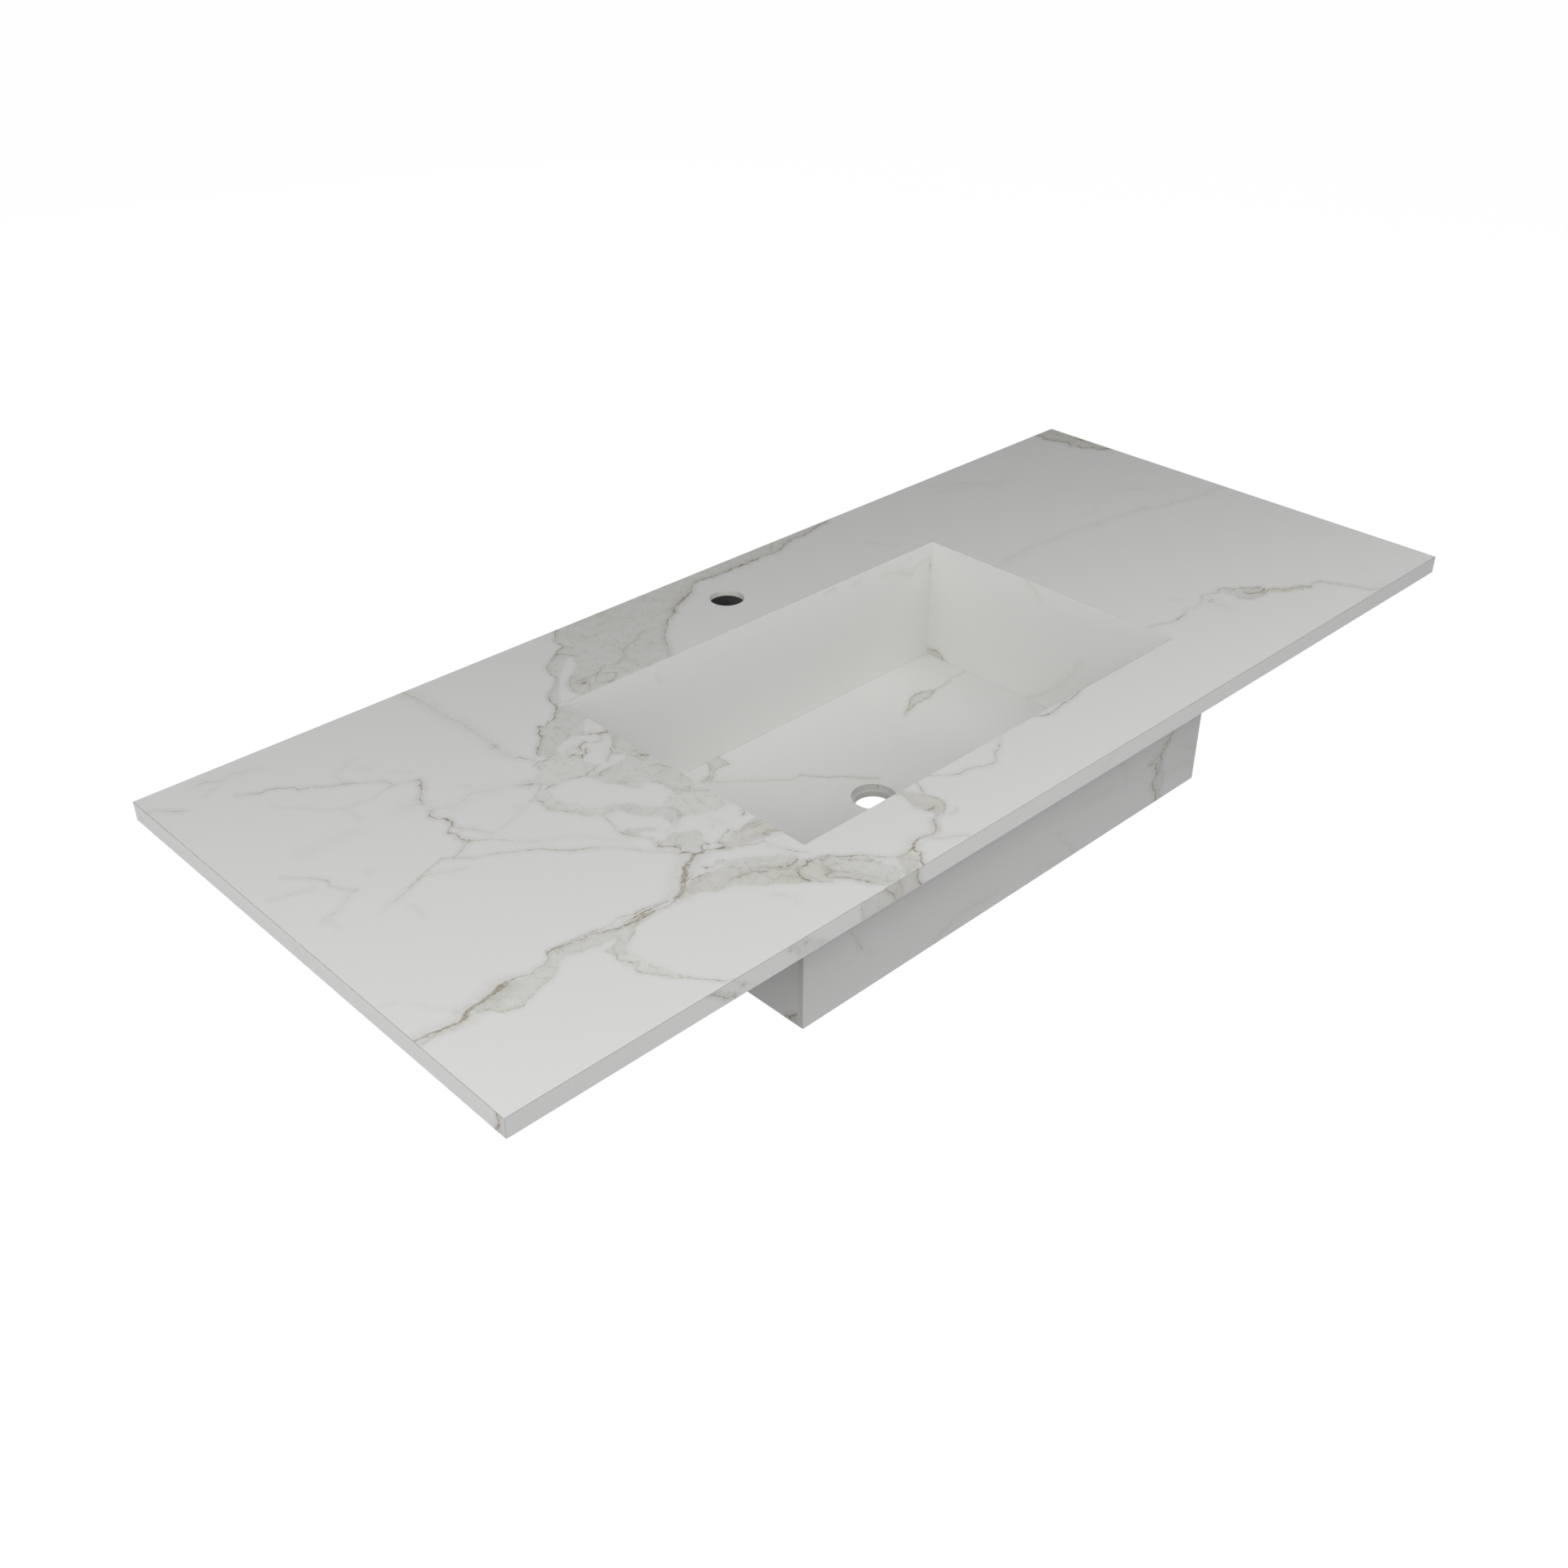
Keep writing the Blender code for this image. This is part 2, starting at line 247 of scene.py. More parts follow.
U, T, S, G = Ink.UMBER, Ink.TAUPE, Ink.SAGE, Ink.GREY
DECK_VEINS = (
    # The main vein from the left edge, with the strands of its knots
    Vein(U, 3, ((0, 103, .6), (12, 102, .75), (24, 99.5, .7), (34, 98, .6), (40, 100, .95))),
    Vein(T, 1.4, ((0, 96, .3), (10, 98, .5), (20, 99, .35), (27, 95, .4), (34, 96, .35), (40, 98, .5))),
    Vein(U, 4.2, ((38, 99, .8), (40, 100, .95), (45, 104, .8), (58, 105, .7), (68, 107, .8),
        (78, 110, 1), (86, 110, .7))),
    Vein(U, 1.8, ((84, 110, .8), (93, 109.5, .6), (101, 106, .4), (108, 108, .5), (113, 106.5, .45),
        (120, 110, .6), (124, 117, .8), (130, 117.5, .7), (140, 115, .5), (152, 112, .6),
        (160, 112, .5), (170, 108, .6), (180, 104, .7), (190, 102, .9), (202, 101, .95), (213, 101, .7),
        (218, 100, .3), (224, 99, .6), (232, 100, .6), (237, 102, .7))),
    Vein(T, 1.3, ((124, 118, .5), (133, 118, .5), (145, 116, .35), (157, 114, .6), (165, 114, .6),
        (172, 112, .7), (180, 111, .3), (186, 114, .4), (193, 112, .7), (200, 109, .9), (207, 110, .95),
        (216, 107.5, .5), (226, 104.5, .4))),
    Vein(U, 1.6, ((186, 106, .3), (194, 105.5, .8), (203, 106, .95), (211, 105, .9), (218, 105, .5),
        (226, 104.5, .6), (233, 103, .4))),
    Vein(U, 1.6, ((188, 103.5, .4), (196, 103, .9), (204, 103.5, .9), (212, 102, .6), (220, 102, .3))),
    Vein(U, 4.2, ((234, 101.5, .7), (236, 102, .9), (243, 105, .7), (249, 110, .85), (253, 115, .95),
        (257, 118, 1), (262, 122, .9), (266, 127, .95), (272, 130, .85), (278, 133, .7), (284, 136, .9),
        (288, 134, .8), (294, 134, .5))),
    Vein(U, 1.6, ((247, 108, .5), (252, 112, .9), (258, 114, .7), (263, 117, .6))),
    Vein(T, 1.2, ((50, 99, .2), (57, 94, .3), (60, 87, .7), (68, 84, .7), (76, 81, .85), (82, 85, .6),
        (89, 86, .6), (97, 90, .55), (106, 91, .4), (114, 94, .3), (121, 99, .15))),
    # The branch that leaves the knot for the front edge
    Vein(T, 1.3, ((173, 96, .4), (169, 92, .45), (162, 89, .4), (160, 84, .35), (159, 79, .7),
        (156, 77, .6), (157, 73, .6), (160, 70, .5), (161, 66, .8), (165, 62, .8), (161, 60, .9),
        (157, 56, .6), (160, 50, .9), (165, 43, .6), (170, 36, .75), (172, 31, .6), (178, 26, .6),
        (182, 20, .7), (187, 14, .7), (193, 7, .95), (197, 3, .4), (202, 0, .5))),
    Vein(T, 1.2, ((198, 99, .3), (190, 97, .2), (186, 92, .6), (178, 88, .7), (172, 85, .5),
        (166, 81, .5), (164, 78, .6))),
    # The long arch and the vein that rises from it
    Vein(T, 1.8, ((97, 255, .4), (108, 259, .5), (120, 264, .6), (130, 267, .6), (137, 269.5, .7),
        (143, 264, .7), (150, 258, .4), (157, 251, .5), (164, 249, .3), (170, 246.5, .6),
        (177, 242, .6), (184, 237, .6), (192, 232, .7), (200, 227, .7), (206, 220, .7), (212, 213, .95),
        (218, 207, .85), (226, 202, .7), (234, 197, .5), (239, 191, .4), (244, 186, .35),
        (250, 180, .3), (254, 174, .6), (258, 166, .55), (263, 160, .35), (269, 154, .35),
        (273, 149, .5), (277, 145, .8), (280, 143, .9), (283, 140, .6))),
    Vein(T, 1.8, ((143, 264, .6), (150, 266, .6), (158, 270, .6), (166, 275, .75))),
    Vein(S, 2.2, ((166, 275, .8), (172, 271, .8), (178, 266.5, .7), (184, 261, .6), (188, 255, .6),
        (194, 247, .45), (200, 241, .4), (208, 234, .4), (217, 228, .25), (227, 224, .25),
        (234, 218, .25), (241, 208, .25), (247, 198, .2), (254, 190, .2), (259, 186, .1))),
    Vein(S, 2, ((64, 243, .2), (75, 247, .3), (85, 249, .8), (93, 252, .5), (101, 256, .4),
        (113, 259, .6), (121, 257, .6), (128, 252.5, .4), (136, 249, .5), (144, 247, .4))),
    # The hooked vein over the arch
    Vein(U, 2, ((169, 332, .6), (164, 327, .85), (165, 322, .6), (167, 318, .5), (171, 315, .95),
        (172, 306, .95), (169, 302, .7), (163, 299, .7), (161, 295, 1), (165, 290, .6), (163, 283, .75),
        (165, 278, .6), (168, 275, .7))),
    Vein(T, 1.8, ((169, 300, .6), (173, 293, .6), (179, 286, .5), (183, 278, .4), (186, 270, .5))),
    Vein(G, 5, ((171, 341, .3), (175, 333, .5), (179, 327, .5), (190, 325, .35), (199, 327, .4),
        (206, 331, .5), (214, 328, .5), (224, 323, .4), (236, 320, .2))),
    Vein(S, 1.6, ((188, 270, .3), (200, 272, .4), (212, 277, .4), (222, 280, .3), (238, 287, .4))),
    Vein(G, 2.4, ((207, 347, .4), (213, 339, .4))),
    Vein(G, 2.4, ((238, 318, .4), (246, 312, .4))),
    Vein(T, 1.8, ((66, 464, .2), (75, 458, .35), (82, 453.5, .8), (90, 453.5, .8), (97, 449, .8),
        (103, 444, .6), (108.5, 440, .6), (107, 436.5, .9), (113, 434, .6), (120, 431, .7),
        (126, 424, .6), (131, 421, .85), (138, 418, .7), (144, 415, .8), (150, 409, .4), (157, 404, .4),
        (163, 400, .35), (168, 395, .4), (169, 388, .85))),
    Vein(S, 1.8, ((79, 430, .2), (85, 420, .45), (94, 411, .3), (102, 402, .35), (109, 393, .25),
        (118, 385, .45), (128, 384, .35), (140, 382, .45), (150, 382, .5), (158, 385.5, .35),
        (167, 387, .6), (176, 385.5, .6), (183, 382, .6), (189, 378, .8))),
    Vein(U, 2.2, ((189, 379, .7), (188, 374, .8), (184.5, 370, 1), (182, 364, .7), (177, 358, .35),
        (172, 352, .7), (171, 347, .4))),
    Vein(G, 6, ((153, 350, .3), (162, 350, .4), (168, 347, .5), (172, 344, .3))),
    Vein(G, 2.5, ((172, 350, .5), (166, 340, .3), (168, 333, .3))),
    Vein(S, 2, ((119, 385, .5), (121, 378, .3), (121, 368, .3), (121, 361, .2))),
    Vein(G, 2, ((140, 415, .3), (142, 436, .3), (152, 437, .3), (160, 444, .3), (171, 446, .2))),
    Vein(G, 2, ((162, 430, .3), (168, 422, .3))),
    Vein(G, 2, ((178, 408, .3), (190, 395, .3))),
    Vein(T, 1.8, ((33, 335, .15), (38, 328, .3), (45, 322, .35), (50, 317, .55), (55, 310, .4),
        (57, 304, .75), (54, 299.5, .5), (57, 294, .35), (61, 287, .3), (65, 281, .6))),
    Vein(S, 2, ((66, 280, .5), (60, 279, .3), (52, 273, .4), (45, 268, .45), (38, 266, .45),
        (30, 265, .4), (25, 262, .2))),
    Vein(S, 1.8, ((10, 315, .45), (16, 313, .2), (25, 311, .4), (34, 307, .35), (45, 304, .2))),
    Vein(S, 2.4, ((49, 501, .4), (58, 500.5, .7), (62, 496, .5), (69, 493, .5), (76, 495, .4),
        (82, 496, .6), (87, 493, .5), (95, 491, .3), (103, 486, .15))),
    Vein(T, 1.8, ((2, 491, .2), (8, 488.5, .25), (15, 480, .5), (19, 477, .7), (25, 472, .4))),
    Vein(T, 1.4, ((12, 481, .3), (15, 485, .35))),
    Vein(S, 1.8, ((45, 479, .15), (53, 484, .4), (62, 488, .3))),
    Vein(S, 2.6, ((261, 515, .7), (263, 506, .6), (265.5, 497, .5), (263, 487, .4), (266, 479, .35),
        (264, 466, .45), (265, 455, .3), (266, 445, .3), (270, 431, .4), (267, 421, .35),
        (269, 411, .25), (268, 396, .2), (267, 380, .5), (266, 368, .2), (267, 358, .15))),
    Vein(G, 1.8, ((5, 150, .3), (14, 145, .3))),
    Vein(G, 1.8, ((21, 138, .3), (26, 130, .3), (30, 121, .3), (34, 117, .3), (38, 105, .3))),
    Vein(G, 6, ((262, 515, .5), (266, 480, .35), (265, 455, .35), (269, 425, .35), (268, 395, .25),
        (266, 360, .15))),
    Vein(T, 2.4, ((264, 378, .5), (268, 378, .7))),
    Vein(G, 2, ((85, 215, .3), (86, 225, .3), (85, 236, .2))),
    Vein(G, 2, ((31, 244, .3), (32, 252, .3), (31, 261, .2))),
    Vein(G, 2.6, ((222, 288, .5), (226, 288, .5))),
    Vein(G, 2.4, ((84, 294, .4), (88, 294, .4))),
    Vein(G, 2.4, ((248, 268, .4), (252, 268, .4))),
    Vein(G, 5, ((60, 350, .15), (85, 351, .2), (110, 349, .15))),
    # The broken ground left of the bowl
    Vein(T, 2, ((267, 351, .3), (271, 349.5, .7), (273, 344, .7), (275.5, 340, .4), (278, 334, .3))),
    Vein(T, 1.6, ((271.5, 329, .6), (275, 331, .5), (278, 332, .8), (282, 329.5, .7), (286, 328, .75),
        (289, 332, .6))),
    Vein(T, 1.6, ((274, 327, .6), (273, 323, .6), (271, 320, .3))),
    Vein(U, 3, ((248, 311, .5), (251, 308.5, .95), (254, 307, .5))),
    Vein(T, 1.4, ((238, 287, .3), (243, 289, .5), (248, 293, .6), (252, 296, .55), (256, 299, .7),
        (260, 301, .4))),
    Vein(T, 2.8, ((256, 293, .5), (261, 294, .7), (268, 293.5, .4))),
    Vein(T, 1.6, ((268, 294, .2), (276, 293, .25), (281, 291.5, .6), (285, 289.5, .5), (290, 288, .9),
        (293, 286, .9), (298, 288, .6), (304, 289, .65), (308, 291, .5), (312, 291.5, .85))),
    Vein(T, 1.8, ((295, 283, .3), (300, 283.5, .5), (304, 282.5, .4))),
    Vein(T, 1.6, ((303, 278, .9), (305, 281, .8), (308, 282.5, .9), (312, 282.5, .5),
        (316, 281.5, .85))),
    Vein(U, 1.8, ((309.5, 311, .9), (313, 315, .95), (316, 314, .85), (319, 318, .8),
        (322.5, 321.5, .5))),
    Vein(U, 1.8, ((317, 321, .8), (319, 326, .8), (323, 329, .6), (327, 329, .6))),
    Vein(T, 2, ((300, 320, .3), (305, 319.5, .7), (308, 320, .8), (309, 316, .6))),
    Vein(T, 1.8, ((321, 291.5, .5), (326, 295.5, .75), (330, 299, .8), (333.5, 300, 1), (336, 305, .8),
        (340, 308.5, .5), (346, 312, .5), (350, 315, .5), (355, 319, .55))),
    Vein(T, 1.6, ((339, 302, .4), (341, 306, .6), (343, 310, .3))),
    Vein(T, 1.8, ((326, 330, .4), (328.5, 330, .95), (331, 325, .5), (335, 322.5, .6), (340, 322.5, .8),
        (343, 325, .6), (345, 331, .9))),
    Vein(U, 2.2, ((338, 338, .6), (342, 336, .5), (345, 332, .8), (348, 331.5, 1), (352, 329, .6))),
    Vein(T, 1.2, ((334, 298, .5), (338, 294, .5), (341, 290, .4), (343, 284, .3), (344, 275, .4))),
    Vein(U, 1.8, ((345, 281, .5), (348, 280.5, .7), (350.5, 278, 1), (352, 275.5, .7), (355, 276, .7))),
    Vein(T, 1.5, ((350, 290, .4), (349.5, 285, .3), (350, 280, .5))),
    Vein(T, 1.8, ((346, 260, .3), (350, 257, .6), (352, 252, .8), (354, 249, .3))),
    Vein(T, 1.8, ((308, 258, .4), (311, 256, .7), (309, 251, .35), (311, 245, .3), (316, 240, .35))),
    Vein(T, 1.8, ((241, 285, .5), (243, 280, .8), (241, 273, .4), (241, 267, .8), (243, 262, .4),
        (248, 257, .6), (250, 252, .6), (254, 246, .4), (256, 241, .6), (258, 236, .4))),
    Vein(T, 1.8, ((266, 226, .6), (264, 216, .5), (261.5, 206, .4), (261, 196, .8), (265, 190, .55),
        (270, 181, .3), (273.5, 176, .35), (273, 168, .35), (270.5, 164.5, .8))),
    Vein(U, 2, ((270.5, 165, .9), (273, 161.5, .8), (277, 158, .75), (280, 154, .75), (281.5, 149, .85),
        (278, 145.5, .9), (282, 141, .9))),
    Vein(G, 2.2, ((289, 175, .6), (297, 176, .6), (305, 180, .7), (310, 183, .6), (318, 185, .5),
        (322, 182, .5), (328, 181, .3))),
    Vein(T, 1.6, ((345, 205, .5), (350, 200, .6), (354, 196, .4))),
    Vein(T, 1.6, ((338, 193, .5), (337, 187, .5))),
    Vein(T, 1.4, ((329, 240, .5), (333, 231, .6), (332, 222, .4), (337, 214, .5), (341, 207, .4))),
    Vein(G, 2, ((318, 153, .5), (323, 158, .5))),
    Vein(G, 2, ((325, 165, .4), (328, 158, .5), (329, 152, .4))),
    # Beads and short strokes where the band turns under the bowl's corner
    Vein(U, 1.8, ((292, 136, .7), (294, 139.5, .7), (297, 141, .8))),
    Vein(U, 1.6, ((300, 141.5, .7), (301, 138, .85))),
    Vein(U, 1.6, ((294, 135.5, .4), (296, 132, .7), (299, 131, .5))),
    Vein(U, 1.8, ((300, 130, .9), (303, 128, .7), (307, 126.5, 1))),
    Vein(U, 1.8, ((307.5, 134.5, .95), (310.5, 132, .7))),
    Vein(T, 1.6, ((310, 137, .5), (316, 138, .6), (318, 141, .5), (323, 141, .8), (326.5, 142, 1))),
    Vein(U, 1.6, ((349, 150, .8), (352, 152, .7), (355, 156, .85))),
    Vein(U, 1.8, ((277, 120, .4), (278, 116.5, .9), (283, 113, .4), (290, 115, .3), (294, 113.5, .6))),
    Vein(U, 1.8, ((260, 112, .6), (267, 111, .8), (275, 109, .5))),
    Vein(T, 1.8, ((318, 119, .5), (323, 116, .6), (329, 112, .5), (335, 112, .6), (335.5, 107, .5))),
    Vein(T, 1.6, ((331, 134, .4), (338, 136.5, .6), (345, 136, .5), (354, 135, .6))),
    Vein(T, 1.6, ((340, 132, .3), (349, 131, .7), (354, 130, .4))),
    Vein(T, 1.6, ((332, 121, .3), (338, 122.5, .5))),
    Vein(T, 1.8, ((334, 104, .4), (338, 97, .3), (341, 90, .5), (342, 86, .9), (346, 80, .6),
        (349, 76, .5))),
    # The band along the front rim
    Vein(U, 1.7, ((283, 91, .4), (290, 89, .6), (297, 88, .6), (301, 88, .6), (304, 83, .7),
        (309, 80, .4))),
    Vein(U, 1.8, ((309, 86, .3), (313, 82, .5), (317, 79, .5), (321, 76, .85), (325, 73, .6),
        (328.5, 72, .6), (332, 73.5, .6), (337, 74, 1))),
    Vein(U, 2, ((329, 68, .6), (328, 64, .7), (325, 61, .7), (323, 58, 1), (323.5, 56, .6),
        (322, 54, 1), (323, 50, .9), (325, 47.5, .7), (328, 43, .6), (332, 38.5, .5), (335, 36, .3))),
    Vein(U, 1.8, ((329, 67, .5), (333, 65, .5), (337, 64, .9), (340, 66.5, 1), (346, 65.5, .5),
        (349, 64.5, .6), (350.5, 60.5, 1))),
    Vein(U, 1.7, ((355, 62, .3), (358, 61, .6), (361, 58, .6), (364, 53, .6), (368, 50, .8),
        (371, 48, .95), (375, 46, .6), (378, 43, .6), (380, 40.5, .5), (384, 34, .3), (387, 31, .8),
        (392, 26, .3), (396, 23, .6), (400, 21, .95), (404, 20, .5))),
    Vein(T, 1.6, ((315, 67, .5), (318, 62, .8), (320, 59, .5))),
    Vein(U, 2, ((340, 39, .6), (345, 33, .7), (350, 26, .6), (353, 20, .4), (354.5, 15.5, 1),
        (358, 10, .4))),
    Vein(T, 1.6, ((345, 48, .6), (347, 51, .6), (352, 50, .3), (356, 48.5, .9))),
    Vein(T, 1.8, ((346, 44, .3), (352, 37, .85), (357, 29, .4), (362, 20, .4), (366, 8, .3))),
    Vein(T, 1.6, ((366, 46, .4), (370, 42, .5), (374, 37, .4), (378, 33.5, .8))),
    Vein(U, 2.6, ((404, 20, .6), (409, 21, .8), (414, 22, .9), (419, 25.5, .9), (425, 27.5, .7),
        (433, 26, .6), (440, 23.5, .5), (446, 26, .5), (452, 33, .5), (456, 38, .6))),
    Vein(U, 2, ((412.5, 20, .7), (412, 17, .95), (413.5, 13, 1), (409, 9.5, .8), (405.5, 6, .8),
        (404, 2.5, .8), (402, 0, .9))),
    Vein(T, 1.8, ((447, 26, .4), (455, 35, .4), (463, 36, .4), (470, 39, .4), (476, 43, .6),
        (480, 48, .7), (482, 55, .9), (480.5, 61, .9), (478, 67, .7), (482, 75, .8), (485, 80, .6),
        (487, 85, .7))),
    Vein(T, 2.4, ((463, 50, .7), (467, 49, .9), (472, 50, .6))),
    Vein(T, 1.6, ((472, 33, .3), (478, 33, .4), (482, 36, .5))),
    Vein(T, 1.8, ((460, 95, .4), (464, 88, .5), (469, 83, .4), (475, 76, .3))),
    Vein(T, 2, ((502, 85, .6), (508, 79, .4), (515, 73, .4), (522, 69, .7), (532, 69, .6),
        (540, 66, .6), (548, 62, .7), (556, 59.5, .6), (562, 60, .6), (566, 65, .6), (572, 70, .7),
        (578, 71, .6), (582, 74, .7), (589, 79, .3), (597, 85, .4))),
    Vein(T, 1.8, ((435, 21, .3), (437, 18, .5), (443, 13, .5), (451, 9, .5), (459, 3, .6))),
    Vein(U, 1.8, ((644, 85, .5), (650, 81, .8), (655, 79, .8), (662, 78, .5), (672, 80, .6),
        (681, 82, .85), (691, 81.5, .6), (700, 83, .7), (711, 85, .8))),
    Vein(G, 2.4, ((290, 56, .4), (296, 50, .5), (298, 42, .4), (300, 36, .4), (296, 33, .3))),
    # The right end of the deck
    Vein(T, 1.8, ((857, 114, .4), (865, 115, .6), (873, 112, .55), (880, 107, .6), (887, 106, .7),
        (895, 106, .85), (905, 107, .8), (912, 109, .5), (922, 112, .3), (930, 109, .3), (938, 108, .3),
        (944, 113, .4), (950, 116, .55), (956, 119, .7), (962, 116, .6), (968, 113, .8),
        (973, 112.5, 1), (978, 115, .95), (984, 115, .8), (988, 111, .9), (989, 106, .8),
        (994, 103, .8), (1000, 101, .95), (1004, 96, .8), (1009, 92, .8), (1014, 89, .7),
        (1018, 88, .4))),
    Vein(U, 1.8, ((993, 94, .6), (991.5, 89, 1), (996, 86, .85), (1002, 83, .7), (1008, 82.5, .9),
        (1014, 84, .8))),
    Vein(T, 1.6, ((1006, 78.5, .9), (1011, 79, 1), (1016, 80, .95), (1020, 78, .5))),
    Vein(T, 1.6, ((994, 90.5, .6), (1001, 90.5, .6), (1010, 91, .8), (1016, 89, .5))),
    Vein(T, 1.6, ((977, 88, .5), (980, 83, .7), (985, 80, .7), (993, 79, .6), (1000, 77, .7),
        (1007, 78, .8))),
    Vein(T, 2.4, ((1020, 78, .6), (1025, 71, .6), (1031, 66, .7), (1037, 65, .8), (1043, 62, .7),
        (1048, 59.5, .9), (1051, 56, .5))),
    Vein(U, 2.4, ((1050, 55, .4), (1060, 55.5, .3), (1068, 54.5, .5), (1071, 53, .6), (1072, 48, .5),
        (1077, 38, .4), (1082, 28, .35), (1087, 17, .35), (1088.5, 10, .5), (1091, 6, .5),
        (1097, 4, .4), (1101, 0, .3))),
    Vein(T, 1.5, ((948, 106, .7), (956, 107, .8))),
    Vein(G, 6, ((951, 104, .5), (950, 92, .4), (950, 82, .2))),
    Vein(S, 2, ((925, 134, .5), (932, 130, .5))),
    Vein(G, 2, ((1105, 10, .5), (1115, 0, .5))),
    Vein(S, 2.6, ((856, 306, .3), (865, 306, .34), (874, 309, .38), (883, 311, .6), (890, 312, .52),
        (897, 310, .34), (905, 311, .34), (912, 313.5, .52), (920, 312, .34), (930, 312, .3),
        (943, 311.5, .52), (950, 309, .52), (958, 309.5, .26), (972, 308, .45), (982, 308, .45),
        (990, 306, .3), (1005, 304.5, .41), (1012, 302, .34), (1018, 300, .52), (1030, 299, .34),
        (1042, 298, .38), (1055, 296.5, .52), (1065, 294, .38), (1075, 292, .45), (1085, 291, .38),
        (1092, 289.5, .71), (1098, 286, .52), (1104, 282, .3), (1112, 279, .15))),
    Vein(S, 2.6, ((1112, 279, .15), (1117, 277, .3), (1123, 275, .68), (1128, 277, .38),
        (1133, 276, .38), (1137, 272.5, .45), (1143, 270.5, .6), (1152, 269.5, .45), (1160, 267, .45),
        (1170, 265, .3), (1178, 264.5, .52), (1186, 267, .38), (1195, 265, .38), (1204, 263, .38),
        (1210, 261, .22))),
    Vein(G, 3, ((963, 504, .3), (973, 495, .25), (981, 487, .2), (991, 482, .5), (1000, 478.5, .9),
        (1006, 471, .6), (1011, 465, .6), (1015, 457, .6), (1019, 448, .5), (1023, 438, .2))),
    Vein(G, 4, ((1018, 464, .3), (1025, 453, .5), (1031, 446, .4), (1040, 450, .2), (1050, 452, .2))),
    Vein(G, 2.4, ((960, 480, .4), (985, 474, .4), (998, 466, .3))),
    Vein(G, 2.4, ((1066, 388, .4), (1073, 379, .4))),
    Vein(G, 2.4, ((1024, 326, .4), (1036, 327, .4), (1042, 320, .4), (1050, 325, .3))),
    Vein(G, 2.4, ((1113, 341, .25), (1125, 333, .4), (1134, 327.5, .5), (1142, 325, .4))),
    Vein(G, 2.4, ((803, 442, .55), (809, 433, .5), (814, 424, .3), (819, 415, .4))),
    # The band behind the bowl: its left line, its inner lines and its right line
    Vein(U, 1.5, ((437, 515, .8), (434, 510, .8), (431, 505, .6), (425, 500, .6), (422, 494, .6),
        (423, 485, .7))),
    Vein(U, 1.5, ((423, 483, .6), (418, 480.5, .8), (413, 480, .6), (408, 475, .9), (400, 471, .6),
        (393, 466, .5), (386, 461, .6), (382, 455, .5), (379.5, 447, .6), (379, 437, .6),
        (372, 430, .35), (366, 424, .4), (360, 422, .6), (355, 419, .5), (352, 413, .75),
        (349, 407, .9), (348, 400, .7), (346, 394, 1), (342, 390, .7), (337, 385, .7), (333, 381, .8),
        (328, 379.5, .7), (322, 377, .7), (317, 373.5, .6), (315, 379.5, .8))),
    Vein(U, 1.6, ((315, 379.5, .8), (312, 375, .9), (309, 370.5, .6), (306.5, 369, 1), (306.5, 363, .8),
        (303, 361, .5), (298, 356, .6), (292, 350, .6), (287, 345.5, .6), (284, 340, .5))),
    Vein(T, 1.5, ((407, 474, .5), (413, 470, .7), (417, 464, .7), (420, 459, .7))),
    Vein(U, 2.2, ((487, 400, .3), (492, 408, .3), (497, 416, .6), (500, 422, .5), (503, 428, .5),
        (508, 433, .4), (514, 440, .5), (520, 444, .5), (528, 453, .7), (535, 458, .5), (543, 460, .6),
        (546, 463, 1), (549, 467, .8), (553, 471.5, .7), (559, 472, .6), (562, 474, 1), (568, 477, 1),
        (575, 480, .85), (582, 483, .7), (586, 484.5, 1), (591, 488, .5), (597, 494, .6),
        (603, 498, .6), (610, 500.5, .6))),
    Vein(U, 2.4, ((610, 500.5, .6), (618, 499, .7), (626, 497, .7), (635, 496, .6), (642, 495.5, .6),
        (647, 495, .95), (653, 496.5, .8), (660, 496, .6), (664, 494.5, 1), (669, 497, .95),
        (674, 493.5, 1), (681, 496, .85), (688, 495, .95), (696, 498, .3), (704, 496, .4),
        (709, 494, .8), (716, 494, .6), (722, 495, 1), (728, 497, .7), (735, 501, .7), (745, 503, .6),
        (753, 506, .6), (760, 504.5, .95), (768, 504.5, .8), (775, 506, .7), (783, 507, .8),
        (790, 509, .7), (798, 511, .8), (806, 510, .6), (814, 513.5, .5))),
    Vein(U, 3.2, ((557, 473, .6), (563, 475, .9), (570, 478, 1), (577, 481, .9), (583, 484, .7),
        (588, 485, .9))),
    Vein(U, 3, ((542, 463, .5), (546, 462, 1), (547, 466, .6))),
    Vein(T, 1.6, ((716, 502, .4), (722, 508, .6), (728, 514, .6))),
    Vein(T, 1.6, ((485, 430, .5), (490, 429, .5))),
    Vein(T, 1.6, ((323, 368, .6), (326, 364, .6))),
    Vein(T, 1.4, ((321, 346, .5), (325, 349, .6))),
    Vein(T, 1.6, ((402, 418.5, .5), (408, 417, .8), (413, 418.5, 1), (417, 420, .9), (421, 424.5, .6),
        (427, 427, .6), (431, 423, .3), (435, 421, .6), (441, 421, .6), (446, 425, .7), (453, 426, .6),
        (456, 432, .8), (459, 437, .6), (465, 440, .6), (470, 443.5, .4), (478, 443, .4),
        (485, 447, .6), (492, 452, .6), (500, 454, .5))),
    Vein(T, 1.8, ((381, 398, .6), (377, 403, .7), (377, 410, .5), (380, 418, .6), (386, 426, .5),
        (393, 431, .5), (400, 430, .4))),
    Vein(T, 1.8, ((386, 398, .5), (391, 402, .5), (394, 408, .6), (393, 413, .4))),
    Vein(U, 2.6, ((389, 413, .6), (392, 412, .9), (396, 415, .5))),
    Vein(T, 1.6, ((381, 419, .5), (388, 418.5, .6), (396, 419, .5), (403, 418, .6))),
